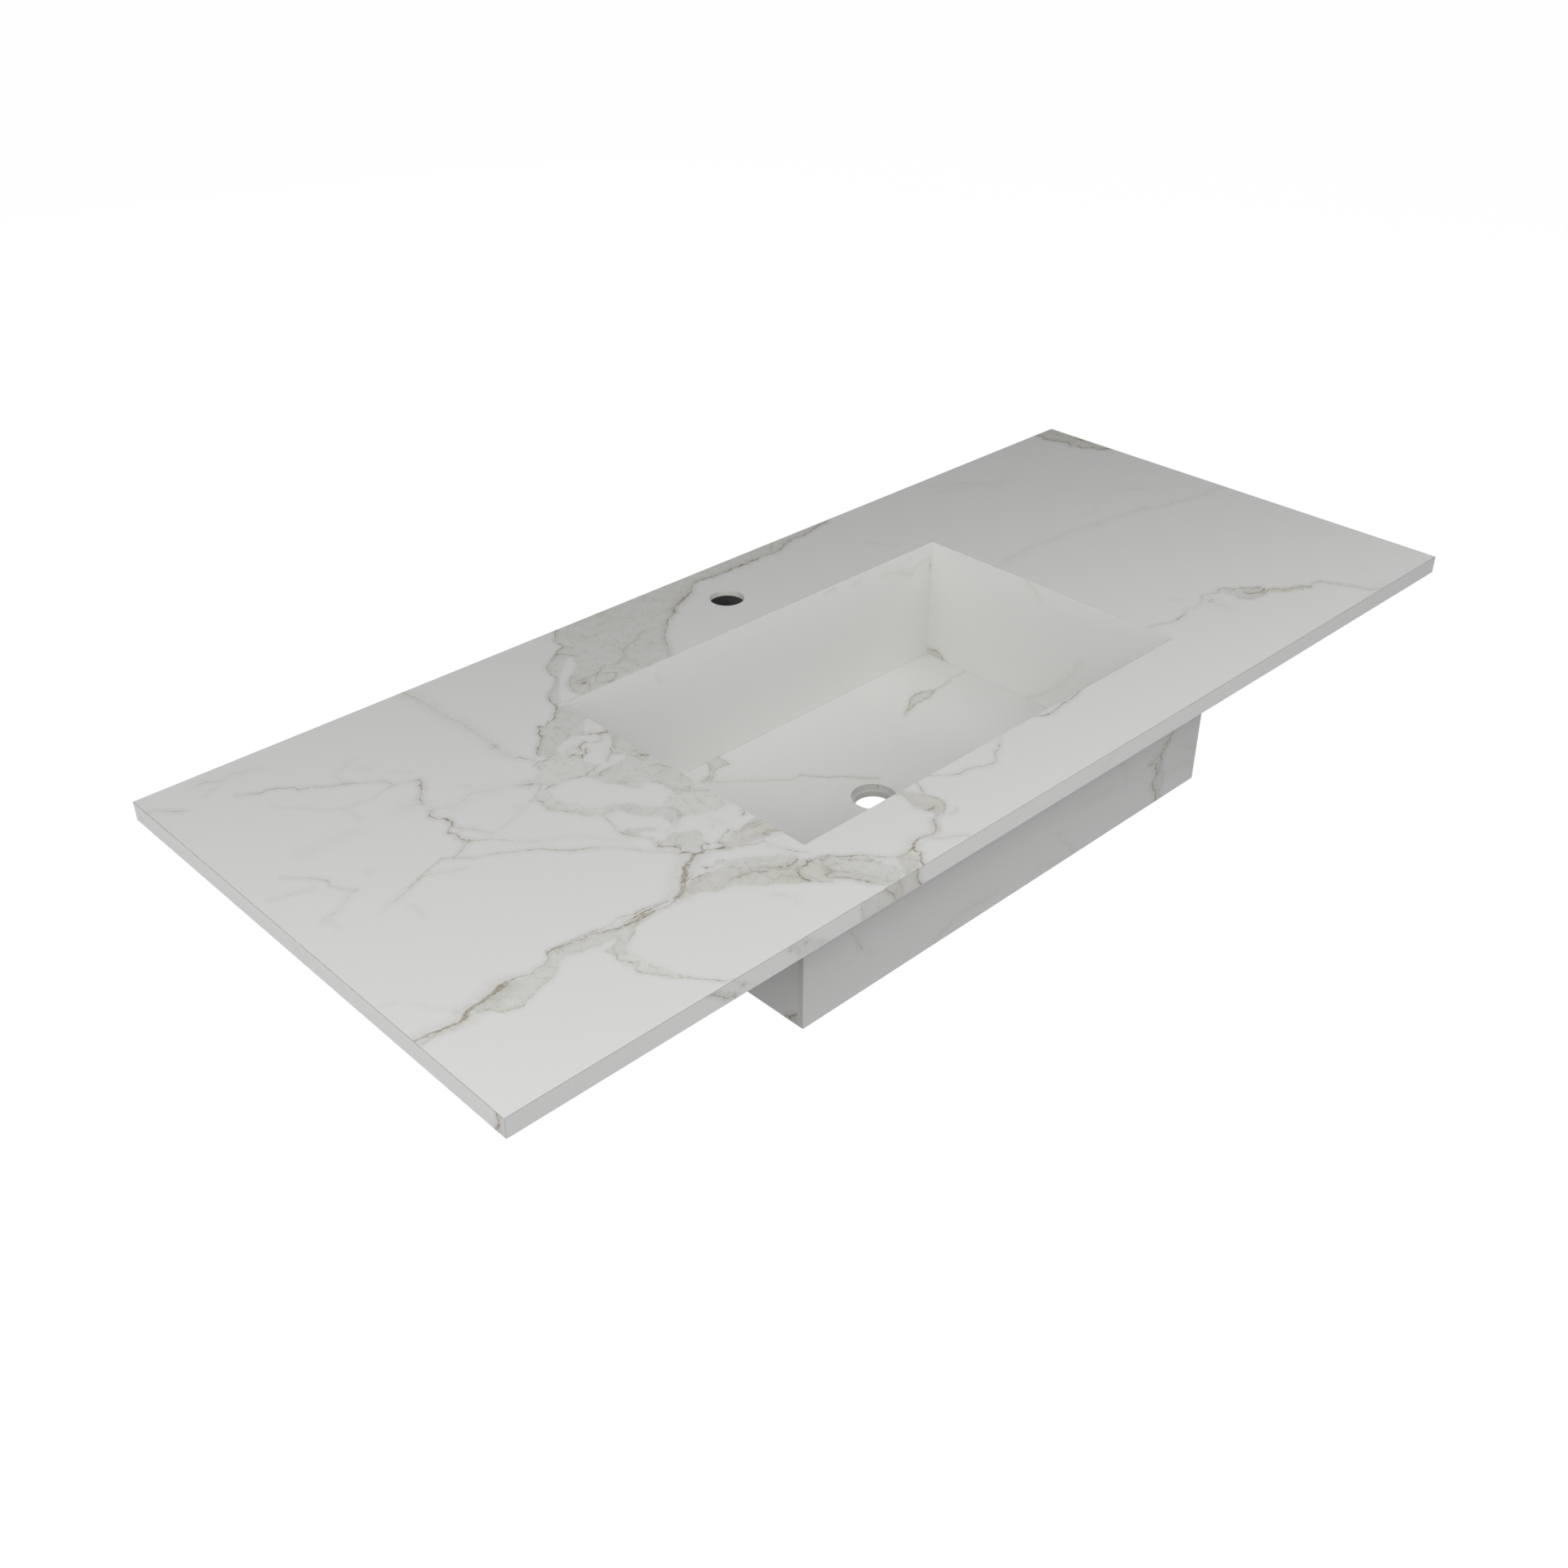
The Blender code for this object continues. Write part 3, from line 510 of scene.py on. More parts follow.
    Vein(T, 1.6, ((402, 406, .6), (405, 412, .6), (412, 416, .6), (419, 413.5, .6), (426, 408, .7))),
    Vein(T, 1.6, ((402, 406, .5), (405, 401, .6), (413, 398.5, .7), (420, 401, .7), (426, 408, .6))),
    Vein(G, 2.4, ((487, 512, .5), (493, 500, .6), (500, 492, .6), (508, 485, .4))),
    Vein(G, 2.4, ((545, 510, .5), (550, 503, .5), (557, 492, .6), (562, 485, .5), (564, 478, .4))),
    Vein(G, 3, ((440, 500, .5), (445, 487, .5), (455, 480, .5), (475, 480, .4))),
    Vein(G, 3, ((520, 480, .5), (540, 475, .5), (552, 472, .4))),
    Vein(G, 2.4, ((430, 417, .5), (434, 408, .5), (438, 400, .4))),
    # The back right corner
    Vein(U, 3, ((1178, 515, .7), (1182, 508, 1), (1178, 502, .8), (1177.5, 495, .7), (1181, 487, .7),
        (1184, 480, .8), (1188, 474, .7), (1186, 468, .8), (1181, 462, .6))),
    Vein(U, 2.4, ((1189, 458, .5), (1186, 452, .8), (1187, 447, .6), (1191, 443, .5), (1197, 441, .9))),
    Vein(U, 2.4, ((1197, 436, .3), (1196, 431, .5), (1204, 428, 1), (1210, 424, .7))),
    Vein(U, 2, ((1207, 475, .8), (1207, 468, .9), (1205, 460, .6), (1206, 452, .6))),
    Vein(T, 2, ((1195, 512, .4), (1199, 503, .6), (1201, 493, .5))),
)

DECK_FILLS = (
    # Bare islands, left white in the fills round them
    Fill(Tone.BARE, ((355, 360), (348, 355), (340, 346)), ((355, 340), (350, 335), (342, 338))),
    Fill(Tone.BARE, ((302, 332), (310, 340), (325, 344)), ((303, 331), (312, 333), (323, 337))),
    Fill(Tone.BARE, ((308, 305), (310, 311), (316, 315), (318, 322), (326, 330), (330, 325),
        (338, 323)),
        ((312, 297), (313, 287), (320, 285), (322, 292), (330, 298), (335, 304), (345, 315))),
    Fill(Tone.BARE, ((356, 398), (362, 412), (373, 424), (386, 440), (400, 452), (413, 461)),
        ((374, 398), (373, 408), (377, 421), (392, 433), (406, 444), (417, 460))),
    # The lens and the grounds along the main vein
    Fill(Tone.GREEN, ((40, 99), (60, 104), (80, 108), (100, 105), (113, 105.5), (121, 108)),
        ((40, 98), (57, 94), (60, 87), (68, 84), (76, 81), (82, 85), (97, 90), (106, 91), (114, 95),
        (121, 99))),
    Fill(Tone.GREEN, ((118, 108), (124, 116), (135, 115), (150, 111.5), (165, 109.5), (180, 103.5),
        (198, 101)),
        ((118, 100), (128, 103), (140, 101), (152, 99), (160, 97), (168, 96), (180, 98.5), (198, 99))),
    Fill(Tone.GREEN, ((198, 100), (185, 100.5), (172, 100), (171, 93), (162, 90.5), (155, 90),
        (156, 82)),
        ((198, 99.5), (190, 95), (184, 91.5), (172, 85), (165, 81), (160, 79), (156, 80))),
    Fill(Tone.LIGHT, ((157, 82), (153, 68), (157, 56), (162, 48), (168, 40), (174, 30), (180, 22)),
        ((167, 82), (170, 72), (171, 60), (172, 50), (175, 40), (179, 30), (182, 22))),
    Fill(Tone.LIGHT, ((246, 262), (252, 251), (258, 239), (264, 229)),
        ((262, 262), (263, 249), (271, 241), (283, 237))),
    Fill(Tone.GREEN, ((264, 229), (273, 228), (283, 223), (284, 214), (289, 207), (292, 200),
        (298, 194), (300, 186), (297, 178)),
        ((283, 237), (291, 228), (300, 216), (308, 207), (315, 200), (316, 191), (312, 184),
        (300, 178))),
    Fill(Tone.GREEN, ((262, 200), (270, 200), (277, 193), (284, 187), (286, 183)),
        ((262, 196), (266, 189), (275, 187), (284, 183))),
    Fill(Tone.GREEN, ((275, 168), (290, 170), (300, 166), (308, 158)),
        ((280, 160), (283, 150), (288, 142), (300, 143), (306, 150))),
    # The band along the front rim
    Fill(Tone.BROWN, ((238, 102), (250, 108), (262, 111), (275, 109), (290, 108), (297, 99), (303, 90),
        (309, 84), (318, 78), (326, 72), (328, 68)),
        ((238, 100), (246, 97), (254, 95), (259, 91), (263, 87), (276, 84), (285, 76), (295, 67),
        (305, 61), (314, 53), (322, 47), (325, 46))),
    Fill(Tone.GREEN, ((290, 110), (302, 110), (312, 103), (320, 97), (330, 90), (337, 83), (340, 78),
        (337, 74)),
        ((290, 104), (300, 95), (309, 86), (317, 80), (323, 75), (330, 73), (337, 74))),
    Fill(Tone.BROWN, ((324, 57), (328, 62), (335, 62), (342, 63), (350, 60)),
        ((324, 57), (325, 50), (330, 43), (338, 40), (346, 45), (350, 60))),
    Fill(Tone.GREEN, ((352, 66), (360, 58), (370, 47), (379, 38), (381, 28), (385, 18), (387, 13),
        (380, 4), (377, 0)),
        ((335, 40), (345, 31), (351, 23), (356, 12), (361, 0))),
    Fill(Tone.BROWN, ((388, 9), (391, 18), (397, 21), (406, 18), (409, 12)),
        ((382, 8), (382, 0), (397, 0), (402, 5))),
    Fill(Tone.TAN, ((340, 119), (348, 123), (355, 119)), ((340, 118), (355, 111))),
    Fill(Tone.BROWN, ((302, 128), (312, 133), (325, 137), (340, 139), (355, 141)),
        ((306, 122), (316, 119), (330, 117), (355, 112))),
    Fill(Tone.BROWN, ((322, 76), (330, 72), (338, 72), (345, 66)),
        ((322, 58), (330, 60), (338, 60), (345, 62))),
    Fill(Tone.BROWN, ((464, 90), (470, 80), (476, 72), (478, 66), (482, 56), (480, 48), (476, 42),
        (470, 38)),
        ((460, 85), (462, 75), (462, 68), (457, 62), (458, 55), (464, 45), (458, 38))),
    # The broken ground left of the bowl
    Fill(Tone.GREEN, ((320, 260), (330, 240), (332, 220), (330, 210), (340, 205), (345, 215)),
        ((355, 260), (355, 240), (355, 218))),
    Fill(Tone.GREEN, ((331, 299), (336, 305), (345, 315), (350, 325), (353, 335)),
        ((334, 292), (345, 295), (355, 300), (355, 315), (355, 335))),
    Fill(Tone.LIGHT, ((308, 207), (316, 191), (312, 184), (322, 176), (335, 172), (355, 168)),
        ((330, 215), (338, 205), (345, 212), (355, 216))),
    Fill(Tone.GREEN, ((295, 282), (318, 283), (335, 285), (345, 285), (355, 300)),
        ((296, 272), (300, 262), (310, 252), (320, 242), (333, 235), (345, 220), (355, 215))),
    Fill(Tone.LIGHT, ((240, 287), (239, 272), (241, 262), (248, 256), (253, 249), (256, 240),
        (272, 236)),
        ((257, 293), (258, 285), (253, 275), (254, 268), (256, 262), (260, 252), (265, 243),
        (280, 238))),
    Fill(Tone.GREEN, ((284, 340), (287, 345.5), (292, 350), (298, 356), (303, 361), (306.5, 369),
        (312, 375), (317, 374), (328, 379.5), (337, 385), (346, 394), (355, 394)),
        ((290, 330), (295, 330), (301, 332), (303, 339), (310, 341), (318, 343), (325, 345), (335, 338),
        (340, 346), (345, 353), (350, 358), (355, 360))),
    Fill(Tone.GREEN, ((333, 299), (340, 308), (350, 315), (355, 318)),
        ((336, 296), (342, 290), (355, 286))),
    Fill(Tone.LIGHT, ((242, 289), (239, 275), (241, 262)), ((251, 289), (253, 275), (250, 259))),
    Fill(Tone.LIGHT, ((258, 299), (252, 303), (260, 312), (270, 320), (272, 328), (280, 330),
        (301, 332), (318, 331)),
        ((268, 294), (281, 291), (290, 287), (300, 288), (310, 290), (312, 295), (308, 305), (310, 313),
        (320, 325))),
    # The band behind the bowl
    Fill(Tone.GREEN, ((347, 397), (349, 407), (352, 413), (360, 422), (372, 430), (379, 437),
        (379.5, 447), (386, 461), (400, 471), (413, 480), (423, 485), (422, 494), (431, 505),
        (437, 515)),
        ((485, 397), (492, 408), (500, 422), (514, 440), (528, 453), (543, 460), (562, 474), (582, 483),
        (597, 494), (610, 500.5), (612, 515))),
    Fill(Tone.GREEN, ((600, 515), (660, 515), (720, 515), (780, 515), (812, 515)),
        ((600, 497), (635, 496), (681, 496), (722, 495), (753, 506), (790, 509), (812, 513))),
    # The right end
    Fill(Tone.GREEN, ((975, 110), (985, 112), (990, 100), (1000, 100), (1015, 90)),
        ((977, 88), (985, 79), (1008, 78), (1014, 84))),
    Fill(Tone.BROWN, ((1020, 80), (1027, 72), (1036, 67), (1045, 62), (1051, 57)),
        ((1010, 75), (1020, 67), (1030, 61), (1040, 57), (1052, 52))),
    Fill(Tone.BROWN, ((1180, 515), (1182, 508), (1178, 498), (1184, 480), (1186, 468), (1183, 460),
        (1186, 450), (1192, 443), (1196, 431), (1204, 425)),
        ((1210, 515), (1210, 490), (1210, 460), (1210, 424))),
)

DECK_PRINT = Print(Face((-0.605, -0.2575, 0.1585), "X", "Y", (0, 0, 1)), DECK_VEINS, DECK_FILLS)
FRONT_EDGE_PRINT = Print(
    Face((-0.605, -0.2575, 0.1405), "X", "Z", (0, -1, 0)),
    veins=(
        Vein(U, 1.6, ((177, 18, .5), (182, 15, .5), (187, 11, .6), (190, 8, .6), (196, 4, .5),
            (201, 3, .5), (203, 0, .5))),
        Vein(S, 2, ((200, 18, .5), (206, 13, .5), (211, 9, .5), (217, 5, .5), (223, 0, .4))),
        Vein(U, 1.6, ((209, 9, .5), (211, 9, .6))),
        Vein(U, 1.8, ((256, 15, .5), (256, 13, .5))),
        Vein(U, 1.8, ((274, 14, .5), (274, 12, .5))),
        Vein(T, 1.4, ((332, 14, .5), (334, 7, .5), (333, 3, .5), (338, 0, .5))),
        Vein(U, 1.8, ((358, 18, .6), (364, 12, .6), (368, 7, .7), (371, 2, .6), (372, 0, .5))),
        Vein(T, 1.8, ((374, 18, .5), (376, 12, .5), (379, 8, .5), (378, 3, .5), (378, 0, .4))),
        Vein(U, 2.2, ((396, 18, .8), (397, 15, .8), (395, 11, .8), (396, 7, .8), (399, 3, .8),
            (401, 0, .8))),
        Vein(G, 3, ((655, 16, .4), (648, 13, .4), (642, 10, .4), (633, 9, .3), (637, 3, .3))),
    ),
    fills=(
        Fill(Tone.GREEN, ((178, 18), (183, 15), (188, 11), (191, 8), (197, 4), (203, 2)),
            ((186, 18), (190, 15), (195, 11), (199, 8), (204, 4), (208, 2))),
        Fill(Tone.GREEN, ((255, 18), (258, 12), (262, 8), (265, 3), (268, 0)),
            ((270, 18), (278, 14), (283, 11), (290, 8), (296, 2), (297, 0))),
        Fill(Tone.GREEN, ((332, 14), (334, 7), (333, 3), (338, 0), (372, 0)),
            ((331, 18), (350, 18), (370, 18))),
        Fill(Tone.BROWN, ((372, 0), (370, 8), (372, 18)), ((399, 0), (395, 8), (396, 18))),
    ),
)
LEFT_EDGE_PRINT = Print(
    Face((-0.605, -0.2575, 0.1405), "Y", "Z", (-1, 0, 0)),
    veins=(
        Vein(U, 1.9, ((7, 18, 1), (8, 16, 1), (7, 13, 1), (6.5, 10, 1), (8, 6, 1), (10, 3, 1),
            (12.5, 0, 1))),
        Vein(G, 2.4, ((243, 11, .4), (249, 3, .4), (257, 12, .4), (263, 12, .4))),
    ),
    fills=(Fill(Tone.GREEN, ((0, 18), (0, 9), (0, 0)), ((8, 18), (6.5, 10), (10, 3), (12.5, 0))),),
)
RIGHT_EDGE_PRINT = Print(
    Face((0.605, -0.2575, 0.1405), "Y", "Z", (1, 0, 0)),
    veins=(
        Vein(S, 2.4, ((261, 18, .6), (258, 12, .6), (259, 6, .5), (254, 0, .4))),
        Vein(U, 2.2, ((424, 18, .7), (420, 13, .8), (421, 7, .7), (415, 0, .6))),
        Vein(T, 1.8, ((468, 18, .5), (472, 10, .6), (470, 4, .5), (474, 0, .5))),
    ),
    fills=(Fill(Tone.BROWN, ((424, 18), (420, 12), (415, 0)), ((515, 18), (515, 12), (515, 0))),),
)
BACK_EDGE_PRINT = Print(
    Face((-0.605, 0.2575, 0.1405), "X", "Z", (0, 1, 0)),
    veins=(
        Vein(U, 1.6, ((437, 18, .8), (440, 12, .7), (439, 6, .8), (444, 0, .7))),
        Vein(U, 2, ((814, 18, .5), (822, 13, .6), (832, 8, .6), (846, 4, .5), (858, 0, .4))),
        Vein(S, 2.4, ((261, 18, .7), (259, 10, .5), (262, 0, .4))),
        Vein(U, 2.6, ((1178, 18, .8), (1175, 12, .8), (1177, 5, .7), (1172, 0, .6))),
    ),
    fills=(
        Fill(Tone.GREEN, ((437, 18), (440, 12), (439, 6), (444, 0), (850, 0)),
            ((520, 18), (700, 18), (812, 18))),
        Fill(Tone.BROWN, ((1178, 18), (1175, 12), (1172, 0)), ((1210, 18), (1210, 12), (1210, 0))),
    ),
)
CASING_FRONT_PRINT = Print(
    Face((-0.605, -0.2, 0.0), "X", "Z", (0, -1, 0)),
    veins=(
        Vein(T, 1.8, ((380, 76, .3), (385, 68, .3), (388, 62, .3), (391, 57, .5), (394, 50, .6),
            (397, 46, .6))),
        Vein(S, 2, ((405, 38, .4), (408, 33, .4))),
        Vein(S, 2.4, ((487, 4, .4), (495, 7, .5), (505, 10, .5), (515, 15, .5), (525, 17, .5),
            (533, 16, .5), (540, 17, .5), (548, 15, .5), (556, 13, .5), (565, 14, .4))),
        Vein(S, 2, ((573, 14, .4), (578, 16, .4))),
        Vein(S, 2, ((660, 37, .4), (664, 33, .4))),
        Vein(S, 2.4, ((665, 27, .4), (671, 22, .5), (677, 18, .5), (681, 13, .5), (685, 7, .5),
            (689, 2, .4))),
        Vein(S, 2, ((631, 13, .4), (636, 11, .4), (640, 9, .4))),
        Vein(S, 2, ((650, 8, .4), (658, 5, .4), (668, 2, .4))),
        Vein(G, 2.6, ((690, 54, .3), (705, 53, .3), (715, 54, .3), (728, 52, .3), (742, 50, .3))),
        Vein(S, 2, ((752, 74, .3), (757, 68, .4), (762, 60, .4), (764, 50, .3))),
        Vein(U, 2.2, ((836, 76, .6), (832, 72, .7), (830, 68, .6), (825, 62, .7), (820, 58, .7),
            (818, 54, .8), (820, 50, .7), (821, 45, .5))),
        Vein(U, 1.8, ((799, 52, .5), (805, 50, .6), (810, 53, .5), (815, 55, .5), (818, 54, .5))),
        Vein(U, 2.6, ((812, 48, .6), (812, 42, .8), (815, 37, .8), (815, 31, .7), (810, 28, .8),
            (810, 24, .8), (813, 17, .8), (818, 12, .8), (819, 6, .8), (820, 0, .8))),
        Vein(G, 3.4, ((821, 45, .4), (824, 36, .5), (828, 29, .5), (834, 25, .5), (842, 24, .5),
            (850, 26, .5), (858, 30, .4), (865, 27, .4), (872, 24, .4), (880, 24, .3))),
        Vein(S, 2.4, ((858, 50, .4), (865, 44, .5), (872, 40, .5), (882, 37, .4))),
        Vein(S, 2.2, ((868, 24, .5), (872, 20, .4), (880, 14, .4))),
    ),
    fills=(
        Fill(Tone.LIGHT, ((799, 52), (806, 60), (818, 66), (830, 70)),
            ((800, 50), (812, 44), (822, 48), (834, 66))),
        Fill(Tone.GREEN, ((812, 46), (815, 34), (810, 26), (814, 16), (820, 0)),
            ((820, 50), (824, 36), (830, 28), (828, 14), (827, 0))),
    ),
)
CASING_LEFT_PRINT = Print(
    Face((-0.2775, -0.2575, 0.0), "Y", "Z", (-1, 0, 0)),
    veins=(
        Vein(U, 2.2, ((64, 12, .9), (67, 9, .9), (72, 5, .9), (74, 2, .9), (75, 0, .9))),
        Vein(U, 1.8, ((76, 4, .8), (79, 0, .8))),
        Vein(S, 2.6, ((140, 0, .5), (150, 18, .6), (164, 30, .6), (171, 52, .5), (186, 70, .5),
            (190, 95, .4), (204, 120, .4), (206, 140, .3))),
        Vein(S, 2.2, ((171, 52, .5), (196, 46, .5), (222, 50, .5), (251, 40, .4), (290, 44, .3))),
    ),
    fills=(Fill(Tone.GREEN, ((64, 12), (64, 5), (64, 0)), ((67, 9), (72, 5), (75, 0))),),
)
CASING_RIGHT_PRINT = Print(
    Face((0.2775, -0.2575, 0.0), "Y", "Z", (1, 0, 0)),
    veins=(
        Vein(G, 3.2, ((60, 30, .5), (82, 34, .6), (96, 44, .6), (121, 46, .5), (140, 60, .4))),
        Vein(S, 2.6, ((96, 44, .6), (112, 28, .6), (118, 12, .7), (132, 0, .6))),
        Vein(T, 1.8, ((232, 140, .4), (240, 118, .6), (252, 104, .7), (256, 82, .6), (271, 66, .7),
            (276, 41, .5), (292, 22, .4), (296, 0, .3))),
        Vein(S, 2.2, ((256, 82, .6), (281, 86, .5), (306, 78, .5), (340, 84, .4), (372, 80, .3))),
    ),
)
CASING_BACK_PRINT = Print(
    Face((-0.605, 0.165, 0.0), "X", "Z", (0, 1, 0)),
    veins=(
        Vein(T, 2, ((330, 112, .4), (352, 100, .6), (371, 96, .6), (390, 78, .8), (398, 61, .7),
            (421, 52, .6), (436, 30, .7), (441, 12, .6), (452, 0, .4))),
        Vein(S, 2.6, ((390, 78, .6), (432, 84, .5), (476, 80, .6), (510, 92, .5), (561, 90, .4),
            (600, 98, .3))),
        Vein(S, 2.4, ((690, 140, .4), (702, 116, .5), (724, 98, .6), (733, 70, .5), (752, 52, .6),
            (770, 22, .5), (776, 0, .4))),
        Vein(G, 3, ((733, 70, .5), (772, 64, .5), (812, 66, .4), (850, 58, .3))),
    ),
)
BACK_WALL_PRINT = Print(
    Face((-0.605, 0.1375, 0.0225), "X", "Z", (0, -1, 0)),
    veins=(
        Vein(T, 1.6, ((690, 131, .3), (700, 132, .36), (707, 131, .3))),
        Vein(S, 2, ((733, 127, .3), (742, 126, .3))),
        Vein(S, 2.4, ((777, 123, .36), (785, 122, .42), (795, 120, .42), (803, 118, .42),
            (810, 114, .48), (818, 110, .48), (823, 107, .42))),
        Vein(S, 2.2, ((823, 107, .36), (828, 114, .36), (838, 117, .36), (850, 118, .3))),
        Vein(U, 2, ((853, 110, .48), (855, 105, .54))),
        Vein(S, 2, ((463, 125, .24), (467, 118, .3), (470, 113, .24))),
    ),
)
RIGHT_WALL_PRINT = Print(
    Face((0.25, -0.2575, 0.0225), "Y", "Z", (-1, 0, 0)),
    veins=(
        Vein(S, 2, ((188, 70, .26), (193, 62, .26), (198, 52, .26), (205, 42, .33), (210, 36, .33),
            (220, 24, .39), (235, 12, .45), (245, 7, .52), (252, 0, .59))),
        Vein(S, 2.2, ((246, 120, .33), (252, 127, .39), (260, 131, .39), (266, 135, .39))),
        Vein(U, 2, ((370, 0, .59), (374, 5, .65), (380, 8, .65), (387, 7, .65), (395, 6, .52))),
    ),
    fills=(Fill(Tone.GREEN, ((370, 0), (374, 5), (380, 8), (387, 7), (395, 6)),
        ((371, 0), (383, 0), (395, 0))),),
)
FRONT_WALL_PRINT = Print(
    Face((-0.605, -0.1725, 0.0225), "X", "Z", (0, 1, 0)),
    veins=(
        Vein(S, 2.2, ((372, 135, .35), (381, 118, .42), (396, 106, .42), (402, 88, .35), (421, 76, .28),
            (430, 60, .21))),
        Vein(T, 1.8, ((597, 135, .28), (605, 124, .42), (621, 117, .49), (633, 103, .42),
            (660, 98, .35), (680, 84, .28))),
        Vein(G, 2.8, ((740, 20, .21), (762, 28, .35), (790, 26, .28), (822, 36, .21))),
    ),
)
LEFT_WALL_PRINT = Print(
    Face((-0.25, -0.2575, 0.0225), "Y", "Z", (1, 0, 0)),
    veins=(
        Vein(U, 1.8, ((119, 135, .42), (123, 126, .49), (131, 120, .42), (134, 110, .28))),
        Vein(S, 2.4, ((276, 135, .42), (281, 119, .42), (292, 108, .35), (297, 88, .42), (312, 74, .35),
            (318, 52, .21))),
        Vein(T, 1.8, ((319, 135, .42), (327, 127, .42), (341, 123, .35), (352, 110, .28))),
    ),
)
FLOOR_PRINT = Print(
    Face((-0.605, -0.2575, 0.0), "X", "Y", (0, 0, 1)),
    veins=(
        Vein(S, 1.8, ((497, 371, .5), (502, 366, .6), (510, 360, .6), (520, 353, .6), (530, 345, .6),
            (540, 337, .6), (550, 329, .6), (558, 322, .6), (565, 316, .6), (572, 315, .7),
            (579, 315, .7))),
        Vein(T, 1.7, ((579, 315, .6), (584, 308, .7), (590, 302, .7), (594, 296, .7), (600, 291, .8),
            (607, 287, .7), (612, 281, .8), (618, 273, .8), (624, 266, .7), (633, 259, .7))),
        Vein(T, 1.6, ((497, 372, .5), (505, 374, .6), (512, 376, .7), (518, 384, .7), (523, 390, .8),
            (524, 395, .7))),
        Vein(T, 1.6, ((505, 368, .4), (512, 372, .5), (518, 378, .6), (524, 379, .6), (530, 379, .6),
            (538, 378, .7), (540, 385, .8), (538, 392, .7), (540, 395, .6))),
        Vein(T, 1.8, ((745, 326, .7), (758, 333, .8), (765, 339, .9), (772, 342, .9), (780, 343, .9),
            (788, 342, .9), (795, 338, .9), (802, 335, .8))),
        Vein(T, 1.8, ((738, 322, .5), (745, 326, .7), (755, 327, .7), (762, 330, .8), (770, 330, .8),
            (780, 329, .7), (788, 330, .8), (795, 333, .9), (802, 335, .8))),
        Vein(T, 1.6, ((803, 335, .5), (812, 334, .5), (820, 336, .5), (828, 337, .5), (832, 341, .6),
            (838, 339, .5), (845, 338, .5), (855, 338, .5))),
    ),
    fills=(
        Fill(Tone.GREEN, ((497, 372), (505, 374), (512, 376), (518, 384), (523, 390), (522, 395)),
            ((505, 368), (512, 372), (518, 378), (524, 379), (530, 379), (538, 378), (540, 385),
            (538, 395))),
        Fill(Tone.GREEN, ((745, 326), (758, 333), (765, 339), (772, 342), (780, 343), (788, 342),
            (795, 338), (802, 335)),
            ((755, 327), (762, 330), (770, 330), (780, 329), (788, 330), (795, 333))),
    ),
)
BOTTOM_PRINT = Print(
    Face((-0.605, -0.2575, 0.005), "X", "Y", (0, 0, -1)),
    veins=(
        Vein(T, 2, ((330, 330, .4), (368, 318, .6), (392, 322, .7), (431, 296, .6), (462, 290, .7),
            (490, 262, .6), (531, 250, .5), (562, 226, .4))),
        Vein(S, 2.6, ((462, 290, .6), (520, 300, .5), (571, 331, .5), (640, 338, .5), (700, 366, .4))),
        Vein(S, 2.4, ((700, 80, .4), (716, 121, .5), (748, 150, .6), (762, 196, .5), (801, 222, .5),
            (872, 240, .3))),
    ),
)

SLAB_PRINTS = {
    "deck_slab": DECK_PRINT,
    "edge_strip_front": FRONT_EDGE_PRINT,
    "edge_strip_left": LEFT_EDGE_PRINT,
    "edge_strip_right": RIGHT_EDGE_PRINT,
    "edge_strip_back": BACK_EDGE_PRINT,
    "bowl_wall_front": FRONT_WALL_PRINT,
    "bowl_wall_left": LEFT_WALL_PRINT,
    "bowl_wall_right": RIGHT_WALL_PRINT,
    "bowl_wall_back": BACK_WALL_PRINT,
    "casing_front": CASING_FRONT_PRINT,
    "casing_left": CASING_LEFT_PRINT,
    "casing_right": CASING_RIGHT_PRINT,
    "casing_back": CASING_BACK_PRINT,
    "bottom_slab": BOTTOM_PRINT,
}


